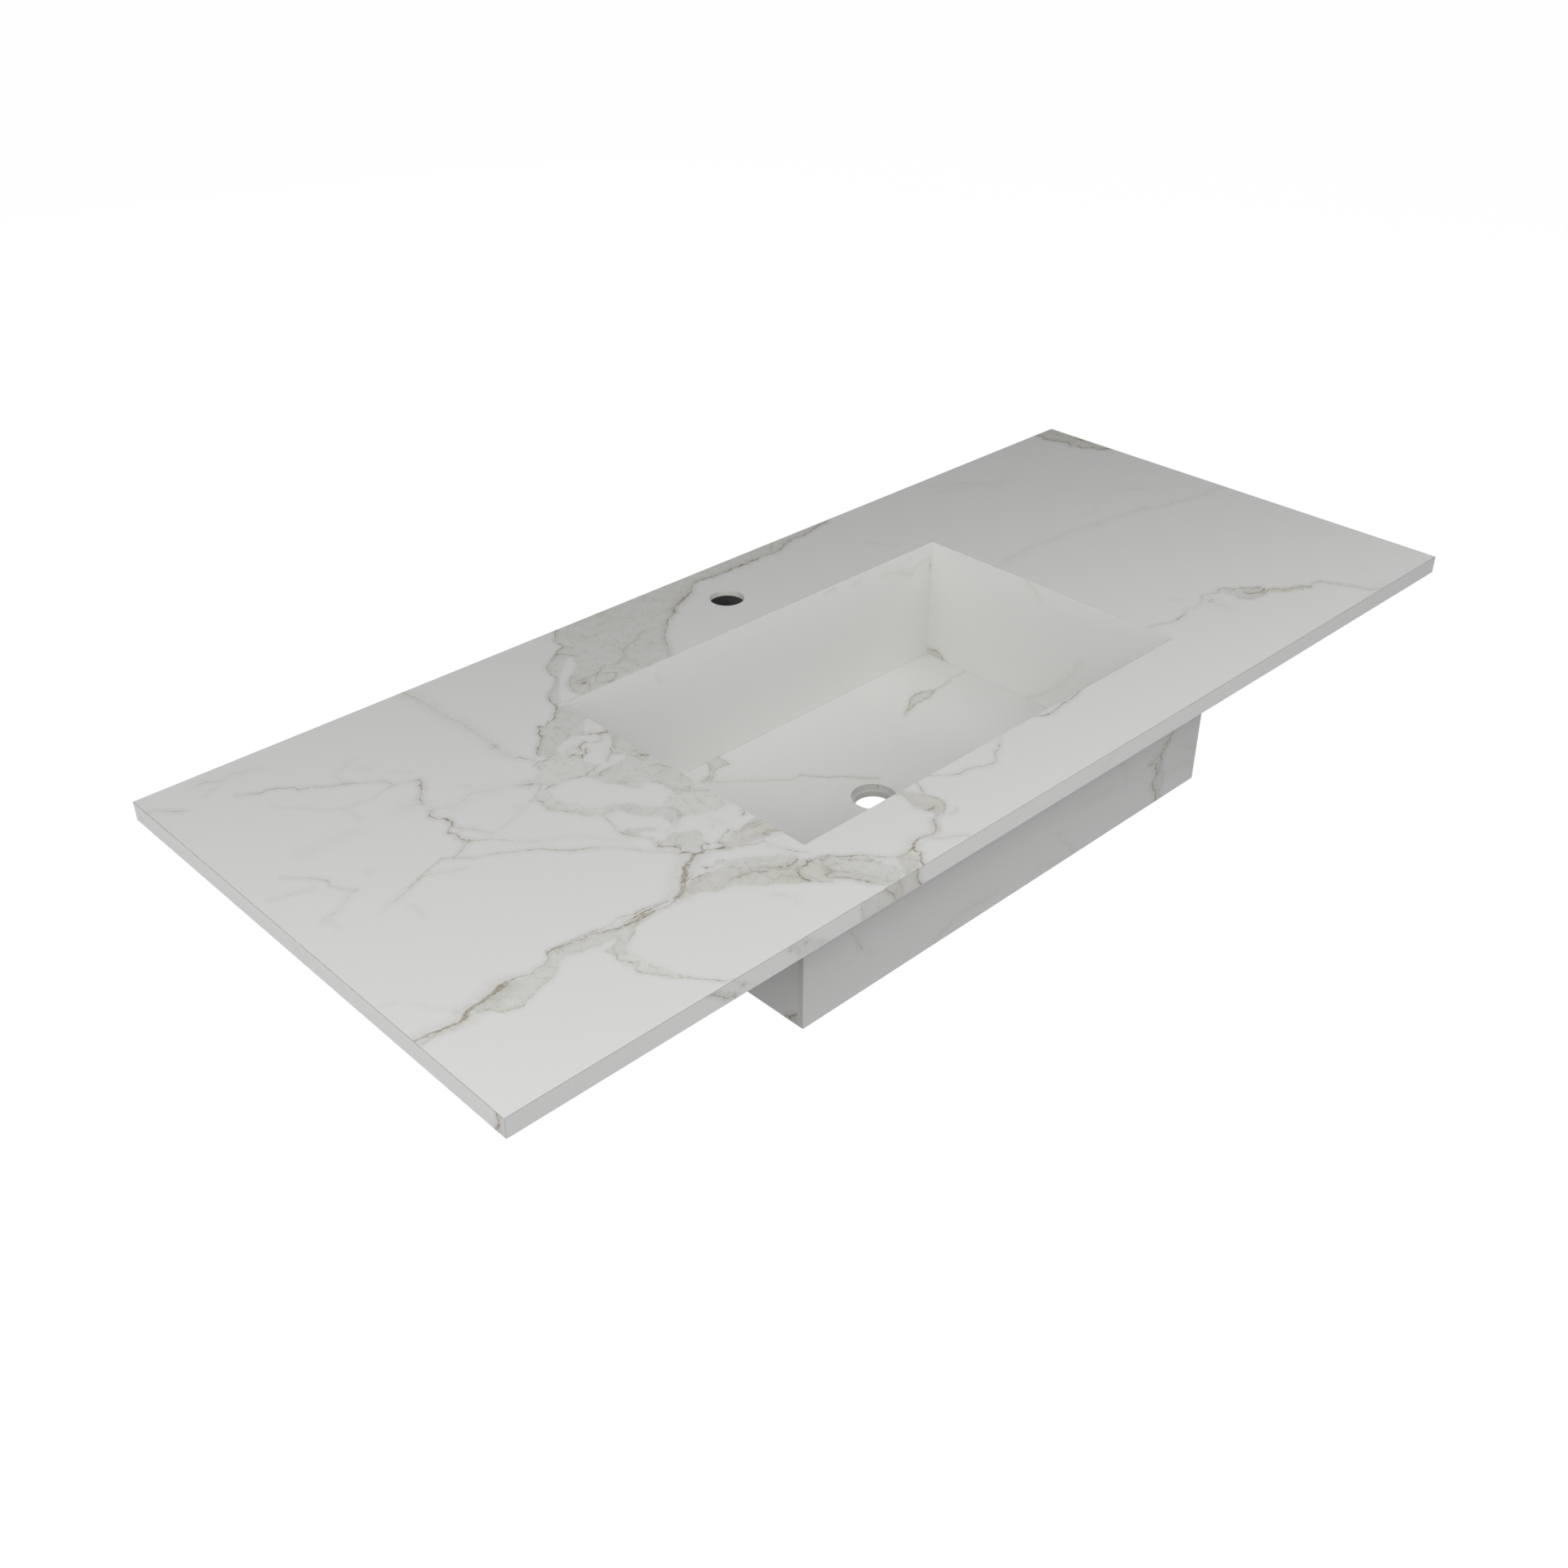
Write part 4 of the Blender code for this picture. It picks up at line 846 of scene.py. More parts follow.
class PrintShop:
    """Draws veins and fills in a material's nodes, with plain numbers from start to end."""

    def __init__(self, tree: bpy.types.NodeTree, u: Socket, v: Socket) -> None:
        """Keeps the tree and the two millimetre coordinates of the face.

        Args:
            tree: the material's node tree.
            u: millimetres along the face.
            v: millimetres up the face.
        """
        self.tree, self.u, self.v = tree, u, v

    def turned(self, begin: Point, end: Point, cap: float) -> tuple[Socket, Callable[[Point], Point]]:
        """Makes the coordinate that runs from 0 to 1 along a chord.

        Args:
            begin: where the chord starts, in millimetres.
            end: where it ends.
            cap: millimetres added before its start and after its end.

        Returns:
            The coordinate, and a function that turns a point to (share along, millimetres aside).
        """
        run = Vector(end) - Vector(begin)
        whole = run.length + 2 * cap
        cos, sin = run.normalized()
        shift = (cap - begin[0] * cos - begin[1] * sin) / whole
        first = add_node(self.tree, "ShaderNodeMath", [self.u, cos / whole, shift],
                         operation="MULTIPLY_ADD")
        share = add_node(self.tree, "ShaderNodeMath", [self.v, sin / whole, first],
                         operation="MULTIPLY_ADD")

        def place(point: Point) -> Point:
            """Turns a point to its share along the chord and its millimetres aside."""
            x, y = point
            return x * cos / whole + y * sin / whole + shift, y * cos - x * sin

        return share.outputs[0], place

    def stroke(self, vein: Vein, path: list[Inked], under: Socket | float) -> Socket:
        """Draws one stroke whose points all go onwards, over what is drawn already.

        Args:
            vein: the vein that it belongs to.
            path: its points and weights.
            under: the weight of what is drawn already.

        Returns:
            The greater of the two weights.
        """
        half = NIB * vein.half_mm
        cap = half * (END_WEIGHT - PEN_UP)
        share, place = self.turned(path[0][:2], path[-1][:2], cap)
        run = (Vector(path[-1][:2]) - Vector(path[0][:2])).normalized()
        spots = [(*place(p[:2]), p[2]) for p in path]
        middle = [(s, -aside) for s, aside, _ in spots]
        weight = [(0.0, PEN_UP), *((s, w) for s, _, w in spots), (1.0, PEN_UP)]
        tree = self.tree
        centre = plot(add_node(tree, "ShaderNodeFloatCurve", {"Value": share}), middle)
        part = add_node(tree, "ShaderNodeMath", [self.u, -run.y, centre], operation="MULTIPLY_ADD")
        off = add_node(tree, "ShaderNodeMath", [self.v, run.x, part], operation="MULTIPLY_ADD")
        far = add_node(tree, "ShaderNodeMath", [off], operation="ABSOLUTE")
        press = plot(add_node(tree, "ShaderNodeFloatCurve", {"Value": share}), weight)
        tent = add_node(tree, "ShaderNodeMath", [far, -1 / half, press], operation="MULTIPLY_ADD")
        return add_node(tree, "ShaderNodeMath", [tent.outputs[0], under],
                        operation="MAXIMUM").outputs[0]

    def vein(self, vein: Vein, under: Socket | float) -> Socket:
        """Draws a vein, cut into strokes wherever it turns back on itself.

        Args:
            vein: the vein.
            under: the weight of what is drawn already.

        Returns:
            The weight with the vein.
        """
        start = 0
        while start < len(vein.path) - 1:
            end = start + 1
            while end + 1 < len(vein.path) and self.onwards(vein.path[start : end + 2]):
                end += 1
            under = self.stroke(vein, list(vein.path[start : end + 1]), under)
            start = end
        return under

    @staticmethod
    def onwards(path: tuple[Inked, ...]) -> bool:
        """Tells whether every step of a path goes forwards along its chord.

        Args:
            path: the path's points and weights.

        Returns:
            True if no step turns back.
        """
        chord = (Vector(path[-1][:2]) - Vector(path[0][:2])).normalized()
        steps = [Vector(b[:2]) - Vector(a[:2]) for a, b in zip(path, path[1:])]
        return all(step.dot(chord) > LEAST_ADVANCE * step.length for step in steps)

    def fill(self, fill: Fill, under: Socket | float) -> Socket:
        """Fills an outline, with how many millimetres a point lies inside it.

        Args:
            fill: the fill.
            under: the same for what is filled already.

        Returns:
            The greater of the two.
        """
        corners = [Vector(p) for p in (*fill.edge, *reversed(fill.other))]
        pairs = ((a, b) for a in corners for b in corners)
        begin, end = max(pairs, key=lambda pair: (pair[1] - pair[0]).length)
        share, place = self.turned(tuple(begin), tuple(end), HAZE_MM)
        run = (end - begin).normalized()
        spots = [place(tuple(c)) for c in corners]
        sides = list(zip(spots, spots[1:] + spots[:1]))
        first, last = place(tuple(begin))[1], place(tuple(end))[1]
        low, high = [(0.0, first + HAZE_MM)], [(0.0, first - HAZE_MM)]
        for s in sorted({s for s, _ in spots}):
            cuts = [a[1] + (b[1] - a[1]) * (s - a[0]) / (b[0] - a[0]) if a[0] != b[0] else a[1]
                    for a, b in sides if min(a[0], b[0]) - TOUCH <= s <= max(a[0], b[0]) + TOUCH]
            low.append((s, min(cuts)))
            high.append((s, max(cuts)))
        low.append((1.0, last + HAZE_MM))
        high.append((1.0, last - HAZE_MM))
        tree = self.tree
        foot = plot(add_node(tree, "ShaderNodeFloatCurve", {"Value": share}), low)
        head = plot(add_node(tree, "ShaderNodeFloatCurve", {"Value": share}), high)
        part = add_node(tree, "ShaderNodeMath", [self.u, -run.y, 0.0], operation="MULTIPLY_ADD")
        aside = add_node(tree, "ShaderNodeMath", [self.v, run.x, part],
                         operation="MULTIPLY_ADD").outputs[0]
        above = add_node(tree, "ShaderNodeMath", [aside, foot], operation="SUBTRACT")
        below = add_node(tree, "ShaderNodeMath", [head, aside], operation="SUBTRACT")
        inside = add_node(tree, "ShaderNodeMath", [above, below], operation="MINIMUM")
        return add_node(tree, "ShaderNodeMath", [inside.outputs[0], under],
                        operation="MAXIMUM").outputs[0]


@dataclass(frozen=True)
class PorcelainStoneware:
    """Porcelain stoneware slab, 6 mm, pressed and fired, with a printed satin glaze.

    It gives the eye a cold, almost even white, broken only by the print, with a soft sheen
    and no visible relief.
    """

    glaze: str = "#dcdcdb"
    body: str = "#c4c4c2"
    sawn: str = "#d2d1cd"
    roughness: float = 0.46
    ior: float = 1.5
    # The glaze's own orange peel, and how far ink runs on the wet glaze
    peel_mm: float = 0.9
    run_mm: float = 1.0
    run_wave_mm: float = 7.0
    # Sizes of the clouds in the fills and of the blots in the lines
    cloud_mm: float = 17.0
    blot_mm: float = 3.4
    # Millimetres over which a fill fades at its edge, how far the edge is torn, and the share of its
    # darkness that lies round it and round every line as a haze
    edge_mm: float = 2.0
    torn_mm: float = 12.0
    haze: float = 0.22
    # How much of its full darkness an ink reaches in the middle of a line, the weight from which
    # it does, and the weights between which a line's haze grows
    press: float = 0.74
    full_weight: float = 0.7
    haze_weights: Span = (PEN_UP + 0.6, 0.4)
    # How unevenly the clouds take up the fills, and the blots the lines
    cloudy: Remap = (0.36, 0.64, 0.7, 1.2)
    blotty: Remap = (0.36, 0.64, 0.5, 1.3)
    # How squarely a facet faces outwards where the print starts and where it is whole
    facing: Span = (0.85, 0.95)
    # The hairline cracks in the fills
    crack: str = "#e6e1d8"
    crack_mm: float = 14.0
    crack_edge: Remap = (0.02, 0.07, 1.0, 0.0)
    crack_gaps: Remap = (0.45, 0.62, 0.0, 0.6)
    sheen_spread: float = 0.05

    def material(self, name: str, printed: Print) -> bpy.types.Material:
        """Builds the material of one printed face.

        Args:
            name: the material's name.
            printed: what is printed on the face.

        Returns:
            The material.
        """
        made = blank_material(name)
        tree = made.node_tree
        place = add_node(tree, "ShaderNodeTexCoord")
        spot = place.outputs["Object"]

        # The ink's own waver, shared by all that is printed
        run = add_node(tree, "ShaderNodeTexNoise", {"Vector": spot, "Scale": 1000 / self.run_wave_mm,
                                                    "Detail": 4.0, "Roughness": 0.72})
        centred = add_node(tree, "ShaderNodeVectorMath", [run.outputs["Color"], (0.5, 0.5, 0.5)],
                           operation="SUBTRACT")
        waver = add_node(tree, "ShaderNodeVectorMath",
                         {0: centred, "Scale": self.run_mm * MM / NOISE_SWING}, operation="SCALE")
        moved = add_node(tree, "ShaderNodeVectorMath", [spot, waver], operation="ADD")
        axes = add_node(tree, "ShaderNodeSeparateXYZ", [moved])
        origin = dict(zip("XYZ", printed.face.start))
        u, v = (add_node(tree, "ShaderNodeMath", [axes.outputs[way], 1 / MM, -origin[way] / MM],
                         operation="MULTIPLY_ADD") for way in (printed.face.along, printed.face.up))
        shop = PrintShop(tree, u.outputs[0], v.outputs[0])

        # The mask of the printed side: no ink on a slab's back or cut edges
        facing = add_node(tree, "ShaderNodeVectorMath", [place.outputs["Normal"], printed.face.outward],
                          operation="DOT_PRODUCT")
        outward = facing.outputs["Value"]
        mask = add_node(tree, "ShaderNodeMapRange", [outward, *self.facing])
        back = add_node(tree, "ShaderNodeMapRange", [outward, *(-share for share in self.facing)])

        # Uneven take-up of the ink
        blot = add_node(tree, "ShaderNodeTexNoise", {"Vector": spot, "Scale": 1000 / self.blot_mm,
                                                     "Detail": 3.0, "Roughness": 0.65})
        cloud = add_node(tree, "ShaderNodeTexNoise",
                         {"Vector": spot, "Scale": 1000 / self.cloud_mm, "Detail": 5.0,
                          "Roughness": 0.7, "Distortion": 0.8})
        cells = add_node(tree, "ShaderNodeTexVoronoi", {"Vector": moved, "Scale": 1000 / self.crack_mm},
                         feature="DISTANCE_TO_EDGE")
        hair = add_node(tree, "ShaderNodeMapRange", [cells.outputs["Distance"], *self.crack_edge])
        broken = add_node(tree, "ShaderNodeMapRange", [blot, *self.crack_gaps])
        cracks = add_node(tree, "ShaderNodeMath", [hair, broken], operation="MULTIPLY")
        colour = add_node(tree, "ShaderNodeMix",
                          {0: back, MIX_A: linear(self.sawn), MIX_B: linear(self.body)},
                          data_type="RGBA").outputs[2]
        colour = add_node(tree, "ShaderNodeMix", {0: mask, MIX_A: colour, MIX_B: linear(self.glaze)},
                          data_type="RGBA").outputs[2]
        covers: dict[Tone, bpy.types.Node] = {}
        for tone in (Tone.BARE, Tone.LIGHT, Tone.GREEN, Tone.BROWN, Tone.TAN):
            fills = [f for f in printed.fills if f.tone is tone]
            inside: Socket | float = -2 * HAZE_MM
            for fill in fills:
                inside = shop.fill(fill, inside)
            if not fills:
                continue
            torn = add_node(tree, "ShaderNodeMath", [cloud, self.torn_mm, inside],
                            operation="MULTIPLY_ADD")
            ends = [0.5 * (self.torn_mm + side * self.edge_mm) for side in (-1, 1)]
            solid = add_node(tree, "ShaderNodeMapRange", [torn, *ends, 0.0, 1 - self.haze])
            haze = add_node(tree, "ShaderNodeMapRange", [inside, -HAZE_MM, 0.0, 0.0, self.haze])
            covers[tone] = add_node(tree, "ShaderNodeMath", [solid, haze], operation="ADD")
        filled = mask
        if Tone.BARE in covers:
            filled = add_node(tree, "ShaderNodeMath", [mask, covers.pop(Tone.BARE)],
                              operation="SUBTRACT", use_clamp=True)
        patchy = add_node(tree, "ShaderNodeMapRange", [cloud, *self.cloudy])
        filled = add_node(tree, "ShaderNodeMath", [filled, patchy], operation="MULTIPLY")
        for tone, cover in covers.items():
            held = add_node(tree, "ShaderNodeMath", [cover, filled], operation="MULTIPLY")
            colour = add_node(tree, "ShaderNodeMix",
                              {0: held, MIX_A: colour, MIX_B: linear(tone.value)}, **STAIN).outputs[2]
            split = add_node(tree, "ShaderNodeMath", [held, cracks], operation="MULTIPLY")
            colour = add_node(tree, "ShaderNodeMix",
                              {0: split, MIX_A: colour, MIX_B: linear(self.crack)}, **STAIN).outputs[2]
        for ink in Ink:
            veins = [v for v in printed.veins if v.ink is ink]
            weight: Socket | float = PEN_UP
            for vein in veins:
                weight = shop.vein(vein, weight)
            if not veins:
                continue
            line = add_node(tree, "ShaderNodeMapRange", [weight, 0.0, self.full_weight, 0.0,
                                                         self.press], interpolation_type="SMOOTHSTEP")
            dark = add_node(tree, "ShaderNodeMapRange", [weight, *self.haze_weights, 0.0, self.haze],
                            interpolation_type="SMOOTHSTEP")
            dark = add_node(tree, "ShaderNodeMath", [line, dark], operation="ADD")
            patchy = add_node(tree, "ShaderNodeMapRange", [blot, *self.blotty])
            held = add_node(tree, "ShaderNodeMath", [dark, patchy], operation="MULTIPLY")
            masked = add_node(tree, "ShaderNodeMath", [held, mask], operation="MULTIPLY")
            colour = add_node(tree, "ShaderNodeMix",
                              {0: masked, MIX_A: colour, MIX_B: linear(ink.value)}, **STAIN).outputs[2]

        peel = add_node(tree, "ShaderNodeTexNoise",
                        {"Vector": spot, "Scale": 1000 / self.peel_mm, "Detail": 2.0})
        sheen = add_node(tree, "ShaderNodeMapRange",
                         {0: peel, TO_MIN: self.roughness - self.sheen_spread,
                          TO_MAX: self.roughness + self.sheen_spread})
        relief = add_node(tree, "ShaderNodeBump",
                          {"Height": peel, "Strength": 0.06, "Distance": 0.0001})
        shader = add_node(tree, "ShaderNodeBsdfPrincipled",
                          {"Base Color": colour, "IOR": self.ior, "Roughness": sheen, "Normal": relief})
        add_node(tree, "ShaderNodeOutputMaterial", {"Surface": shader})
        return made


@dataclass(frozen=True)
class CompactLaminate:
    """Black compact laminate board: kraft paper pressed solid with resin, then sawn.

    It gives the eye a near-black, dull edge with fine layers from the paper sheets.
    """

    colour: str = "#222222"
    sheet: str = "#2e2d2c"
    least_rough: float = 0.54
    most_rough: float = 0.74
    ior: float = 1.52
    # Pressed sheets are about 0.2 mm thick; they are drawn 0.8 mm, as coarse as shows
    sheet_mm: float = 0.8
    dust_scale: float = 420.0

    def material(self, name: str) -> bpy.types.Material:
        """Builds the board's material.

        Args:
            name: the material's name.

        Returns:
            The material.
        """
        made = blank_material(name)
        tree = made.node_tree
        spot = add_node(tree, "ShaderNodeTexCoord").outputs["Object"]
        layers = add_node(tree, "ShaderNodeTexWave",
                          {"Vector": spot, "Scale": WAVE_BAND / (self.sheet_mm * MM), "Distortion": 0.6,
                           "Detail": 2.0}, bands_direction="Z")
        dust = add_node(tree, "ShaderNodeTexNoise",
                        {"Vector": spot, "Scale": self.dust_scale, "Detail": 4.0})
        both = add_node(tree, "ShaderNodeMath", [layers.outputs[1], dust], operation="MULTIPLY")
        colour = add_node(tree, "ShaderNodeMix", {0: both, MIX_A: linear(self.colour),
                                                  MIX_B: linear(self.sheet)}, data_type="RGBA")
        dull = add_node(tree, "ShaderNodeMapRange",
                        {0: dust, TO_MIN: self.least_rough, TO_MAX: self.most_rough})
        relief = add_node(tree, "ShaderNodeBump",
                          {"Height": both, "Strength": 0.25, "Distance": 0.0002})
        shader = add_node(tree, "ShaderNodeBsdfPrincipled",
                          {"Base Color": colour.outputs[2], "IOR": self.ior, "Roughness": dull,
                           "Normal": relief})
        add_node(tree, "ShaderNodeOutputMaterial", {"Surface": shader})
        return made


@dataclass(frozen=True)
class AdhesiveMortar:
    """Grey cement adhesive, trowelled and left as it set.

    It gives the eye a flat grey with sand grains and a rough, pitted face.
    """

    colour: str = "#b1aea9"
    grain: str = "#8f8c86"
    roughness: float = 0.9
    rough_spread: float = 0.08
    sand_mm: float = 0.7
    damp_scale: float = 60.0
    sand_edge: Remap = (0.1, 0.6, 0.7, 0.0)

    def material(self, name: str) -> bpy.types.Material:
        """Builds the mortar's material.

        Args:
            name: the material's name.

        Returns:
            The material.
        """
        made = blank_material(name)
        tree = made.node_tree
        spot = add_node(tree, "ShaderNodeTexCoord").outputs["Object"]
        sand = add_node(tree, "ShaderNodeTexVoronoi",
                        {"Vector": spot, "Scale": 1 / (self.sand_mm * MM)})
        damp = add_node(tree, "ShaderNodeTexNoise",
                        {"Vector": spot, "Scale": self.damp_scale, "Detail": 5.0})
        speck = add_node(tree, "ShaderNodeMapRange", [sand, *self.sand_edge])
        share = add_node(tree, "ShaderNodeMath", [speck, damp], operation="MULTIPLY")
        colour = add_node(tree, "ShaderNodeMix", {0: share, MIX_A: linear(self.colour),
                                                  MIX_B: linear(self.grain)}, data_type="RGBA")
        rough = add_node(tree, "ShaderNodeMapRange",
                         {0: damp, TO_MIN: self.roughness - self.rough_spread,
                          TO_MAX: self.roughness + self.rough_spread})
        relief = add_node(tree, "ShaderNodeBump", {"Height": sand, "Strength": 0.5, "Distance": 0.0004})
        shader = add_node(tree, "ShaderNodeBsdfPrincipled",
                          {"Base Color": colour.outputs[2], "Roughness": rough, "Normal": relief})
        add_node(tree, "ShaderNodeOutputMaterial", {"Surface": shader})
        return made


@dataclass(frozen=True)
class EpoxyJoint:
    """Two-part epoxy, tinted to the slab, pressed into a 0.3 mm joint and wiped flush.

    It gives the eye a hairline a shade warmer than the glaze beside it.
    """

    colour: str = "#dcdbd9"
    shade: str = "#d6d5d1"
    roughness: float = 0.42
    sheen_spread: float = 0.06
    ior: float = 1.52
    ripple_mm: float = 3.0

    def material(self, name: str) -> bpy.types.Material:
        """Builds the epoxy's material.

        Args:
            name: the material's name.

        Returns:
            The material.
        """
        made = blank_material(name)
        tree = made.node_tree
        spot = add_node(tree, "ShaderNodeTexCoord").outputs["Object"]
        ripple = add_node(tree, "ShaderNodeTexNoise",
                          {"Vector": spot, "Scale": 1 / (self.ripple_mm * MM),
                           "Detail": 3.0}).outputs[0]
        colour = add_node(tree, "ShaderNodeMix", {0: ripple, MIX_A: linear(self.shade),
                                                  MIX_B: linear(self.colour)}, data_type="RGBA")
        sheen = add_node(tree, "ShaderNodeMapRange",
                         {0: ripple, TO_MIN: self.roughness - self.sheen_spread,
                          TO_MAX: self.roughness + self.sheen_spread})
        relief = add_node(tree, "ShaderNodeBump",
                          {"Height": ripple, "Strength": 0.2, "Distance": 0.0001})
        shader = add_node(tree, "ShaderNodeBsdfPrincipled",
                          {"Base Color": colour.outputs[2], "IOR": self.ior, "Roughness": sheen,
                           "Normal": relief})
        add_node(tree, "ShaderNodeOutputMaterial", {"Surface": shader})
        return made


@dataclass(frozen=True)
class Joint:
    """One run of epoxy: the lines that it follows, and whether each closes on itself."""

    name: str
    lines: tuple[tuple[Corner, ...], ...]
    closed: bool
    radius: float = 0.00021


@dataclass
class EpoxyJoints:
    """All the epoxy between the slabs, laid along the arrises that the CAD solids leave open."""

    # How far a bead's middle lies behind the corner that it fills
    depth: float = 0.00022
    sides: int = 8
    drain_radius: float = 0.0225
    drain_points: int = 48
    floor_radius: float = 0.00018
    slab: float = 0.006

    def joints(self) -> list[Joint]:
        """Works out every run from the boxes of the CAD nodes.

        Returns:
            The runs.
        """
        low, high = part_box("deck_slab")
        left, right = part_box("bowl_wall_left")[1].x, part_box("bowl_wall_right")[0].x
        front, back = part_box("bowl_wall_front")[1].y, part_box("bowl_wall_back")[0].y
        foot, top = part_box("edge_strip_front")[0].z, high.z
        edge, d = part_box("floor_facet_left")[1].z, self.depth
        outer = self.loop(low.x + d, high.x - d, low.y + d, high.y - d)
        rim = self.loop(left - d, right + d, front - d, back + d)
        bowl = self.loop(left, right, front, back)
        middle = Vector(((left + right) / 2, (front + back) / 2, 0.0))
        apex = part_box("floor_facet_left")[0].z + self.slab
        diagonals = []
        for x, y in bowl:
            corner = Vector((x, y, edge))
            inner = Vector((middle.x, middle.y, apex))
            stop = self.drain_radius / (corner - inner).xy.length
            near = inner.lerp(corner, stop)
            near.z = apex
            diagonals.append((tuple(corner), tuple(near)))
        turns = [2 * math.pi * i / self.drain_points for i in range(self.drain_points)]
        ring = tuple((middle.x + self.drain_radius * math.cos(a),
                      middle.y + self.drain_radius * math.sin(a),
                      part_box("bottom_slab")[1].z + d) for a in turns)
        case_low, case_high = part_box("casing_front")
        seam_front = (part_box("casing_front")[1].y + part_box("casing_left")[0].y) / 2
        seam_back = (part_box("casing_back")[0].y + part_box("casing_left")[1].y) / 2
        seams = tuple(((x, y, case_low.z + d), (x, y, foot - d))
                      for x in (case_low.x + d, case_high.x - d)
                      for y in (seam_front, seam_back))
        return [
            Joint("joint_deck_edge", (tuple((x, y, top - d) for x, y in outer),), True),
            Joint("joint_deck_corners", tuple(((x, y, foot + d), (x, y, top - d)) for x, y in outer),
                  False),
            Joint("joint_rim", (tuple((x, y, top - d) for x, y in rim),), True),
            Joint("joint_bowl_corners", tuple(((x, y, edge), (x, y, top - 2 * d)) for x, y in bowl),
                  False),
            Joint("joint_floor_edge", (tuple((x, y, edge) for x, y in bowl),), True),
            Joint("joint_floor_valleys", tuple(diagonals), False, self.floor_radius),
            Joint("joint_drain", (ring,), True),
            Joint("joint_casing", seams, False),
        ]

    @staticmethod
    def loop(x0: float, x1: float, y0: float, y1: float) -> tuple[Point, ...]:
        """Gives a rectangle's corners in order.

        Args:
            x0: its left side.
            x1: its right side.
            y0: its front side.
            y1: its back side.

        Returns:
            The four corners, from the front left one round to the back left one.
        """
        return (x0, y0), (x1, y0), (x1, y1), (x0, y1)

    def bead_tree(self) -> bpy.types.NodeTree:
        """Builds the Geometry Nodes tree that lays a round bead along a piece's edges.

        Returns:
            The tree, with inputs for the bead's radius, sides and material.
        """
        tree = bpy.data.node_groups.new("epoxy_bead", "GeometryNodeTree")
        face = tree.interface
        for label, kind in (("Geometry", "Geometry"), ("Radius", "Float"), ("Sides", "Int"),
                            ("Material", "Material")):
            face.new_socket(label, in_out="INPUT", socket_type=f"NodeSocket{kind}")
        face.new_socket("Geometry", in_out="OUTPUT", socket_type="NodeSocketGeometry")
        given = add_node(tree, "NodeGroupInput").outputs
        line = add_node(tree, "GeometryNodeMeshToCurve", {"Mesh": given["Geometry"]})
        round_ = add_node(tree, "GeometryNodeCurvePrimitiveCircle",
                          {"Resolution": given["Sides"], "Radius": given["Radius"]})
        bead = add_node(tree, "GeometryNodeCurveToMesh",
                        {"Curve": line, "Profile Curve": round_, "Fill Caps": True})
        real = add_node(tree, "GeometryNodeRealizeInstances", [bead])
        dressed = add_node(tree, "GeometryNodeSetMaterial",
                           {"Geometry": real, "Material": given["Material"]})
        add_node(tree, "NodeGroupOutput", [dressed])
        return tree

    def build(self, epoxy: bpy.types.Material) -> None:
        """Lays every bead as a plain mesh that rides on the top.

        Args:
            epoxy: the material of the beads.
        """
        tree = self.bead_tree()
        keys = {item.name: item.identifier for item in tree.interface.items_tree
                if item.in_out == "INPUT"}
        for joint in self.joints():
            points, edges = [], []
            for line in joint.lines:
                first = len(points)
                points += line
                edges += [(first + i, first + i + 1) for i in range(len(line) - 1)]
                if joint.closed:
                    edges.append((len(points) - 1, first))
            path = bpy.data.meshes.new(joint.name)
            path.from_pydata(points, edges, [])
            bead = add_object(joint.name, path)
            nodes = bead.modifiers.new("bead", "NODES")
            nodes.node_group = tree
            for label, value in (("Radius", joint.radius), ("Sides", self.sides), ("Material", epoxy)):
                nodes[keys[label]] = value
            ready = bead.evaluated_get(bpy.context.evaluated_depsgraph_get())
            solid = bpy.data.meshes.new_from_object(ready)
            bead.modifiers.remove(nodes)
            bead.data = solid
            shape = bmesh.new()
            shape.from_mesh(solid)
            bmesh.ops.recalc_face_normals(shape, faces=shape.faces)
            shape.to_mesh(solid)
            shape.free()
            solid.shade_smooth()
            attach(bead, BODY)
            LOG.info("%s: %d faces", joint.name, len(solid.polygons))


@dataclass(frozen=True)
class SoftBox:
    """One soft lamp: where it hangs, how large and how strong it is."""

    name: str
    place: Corner
    size: float
    watts: float


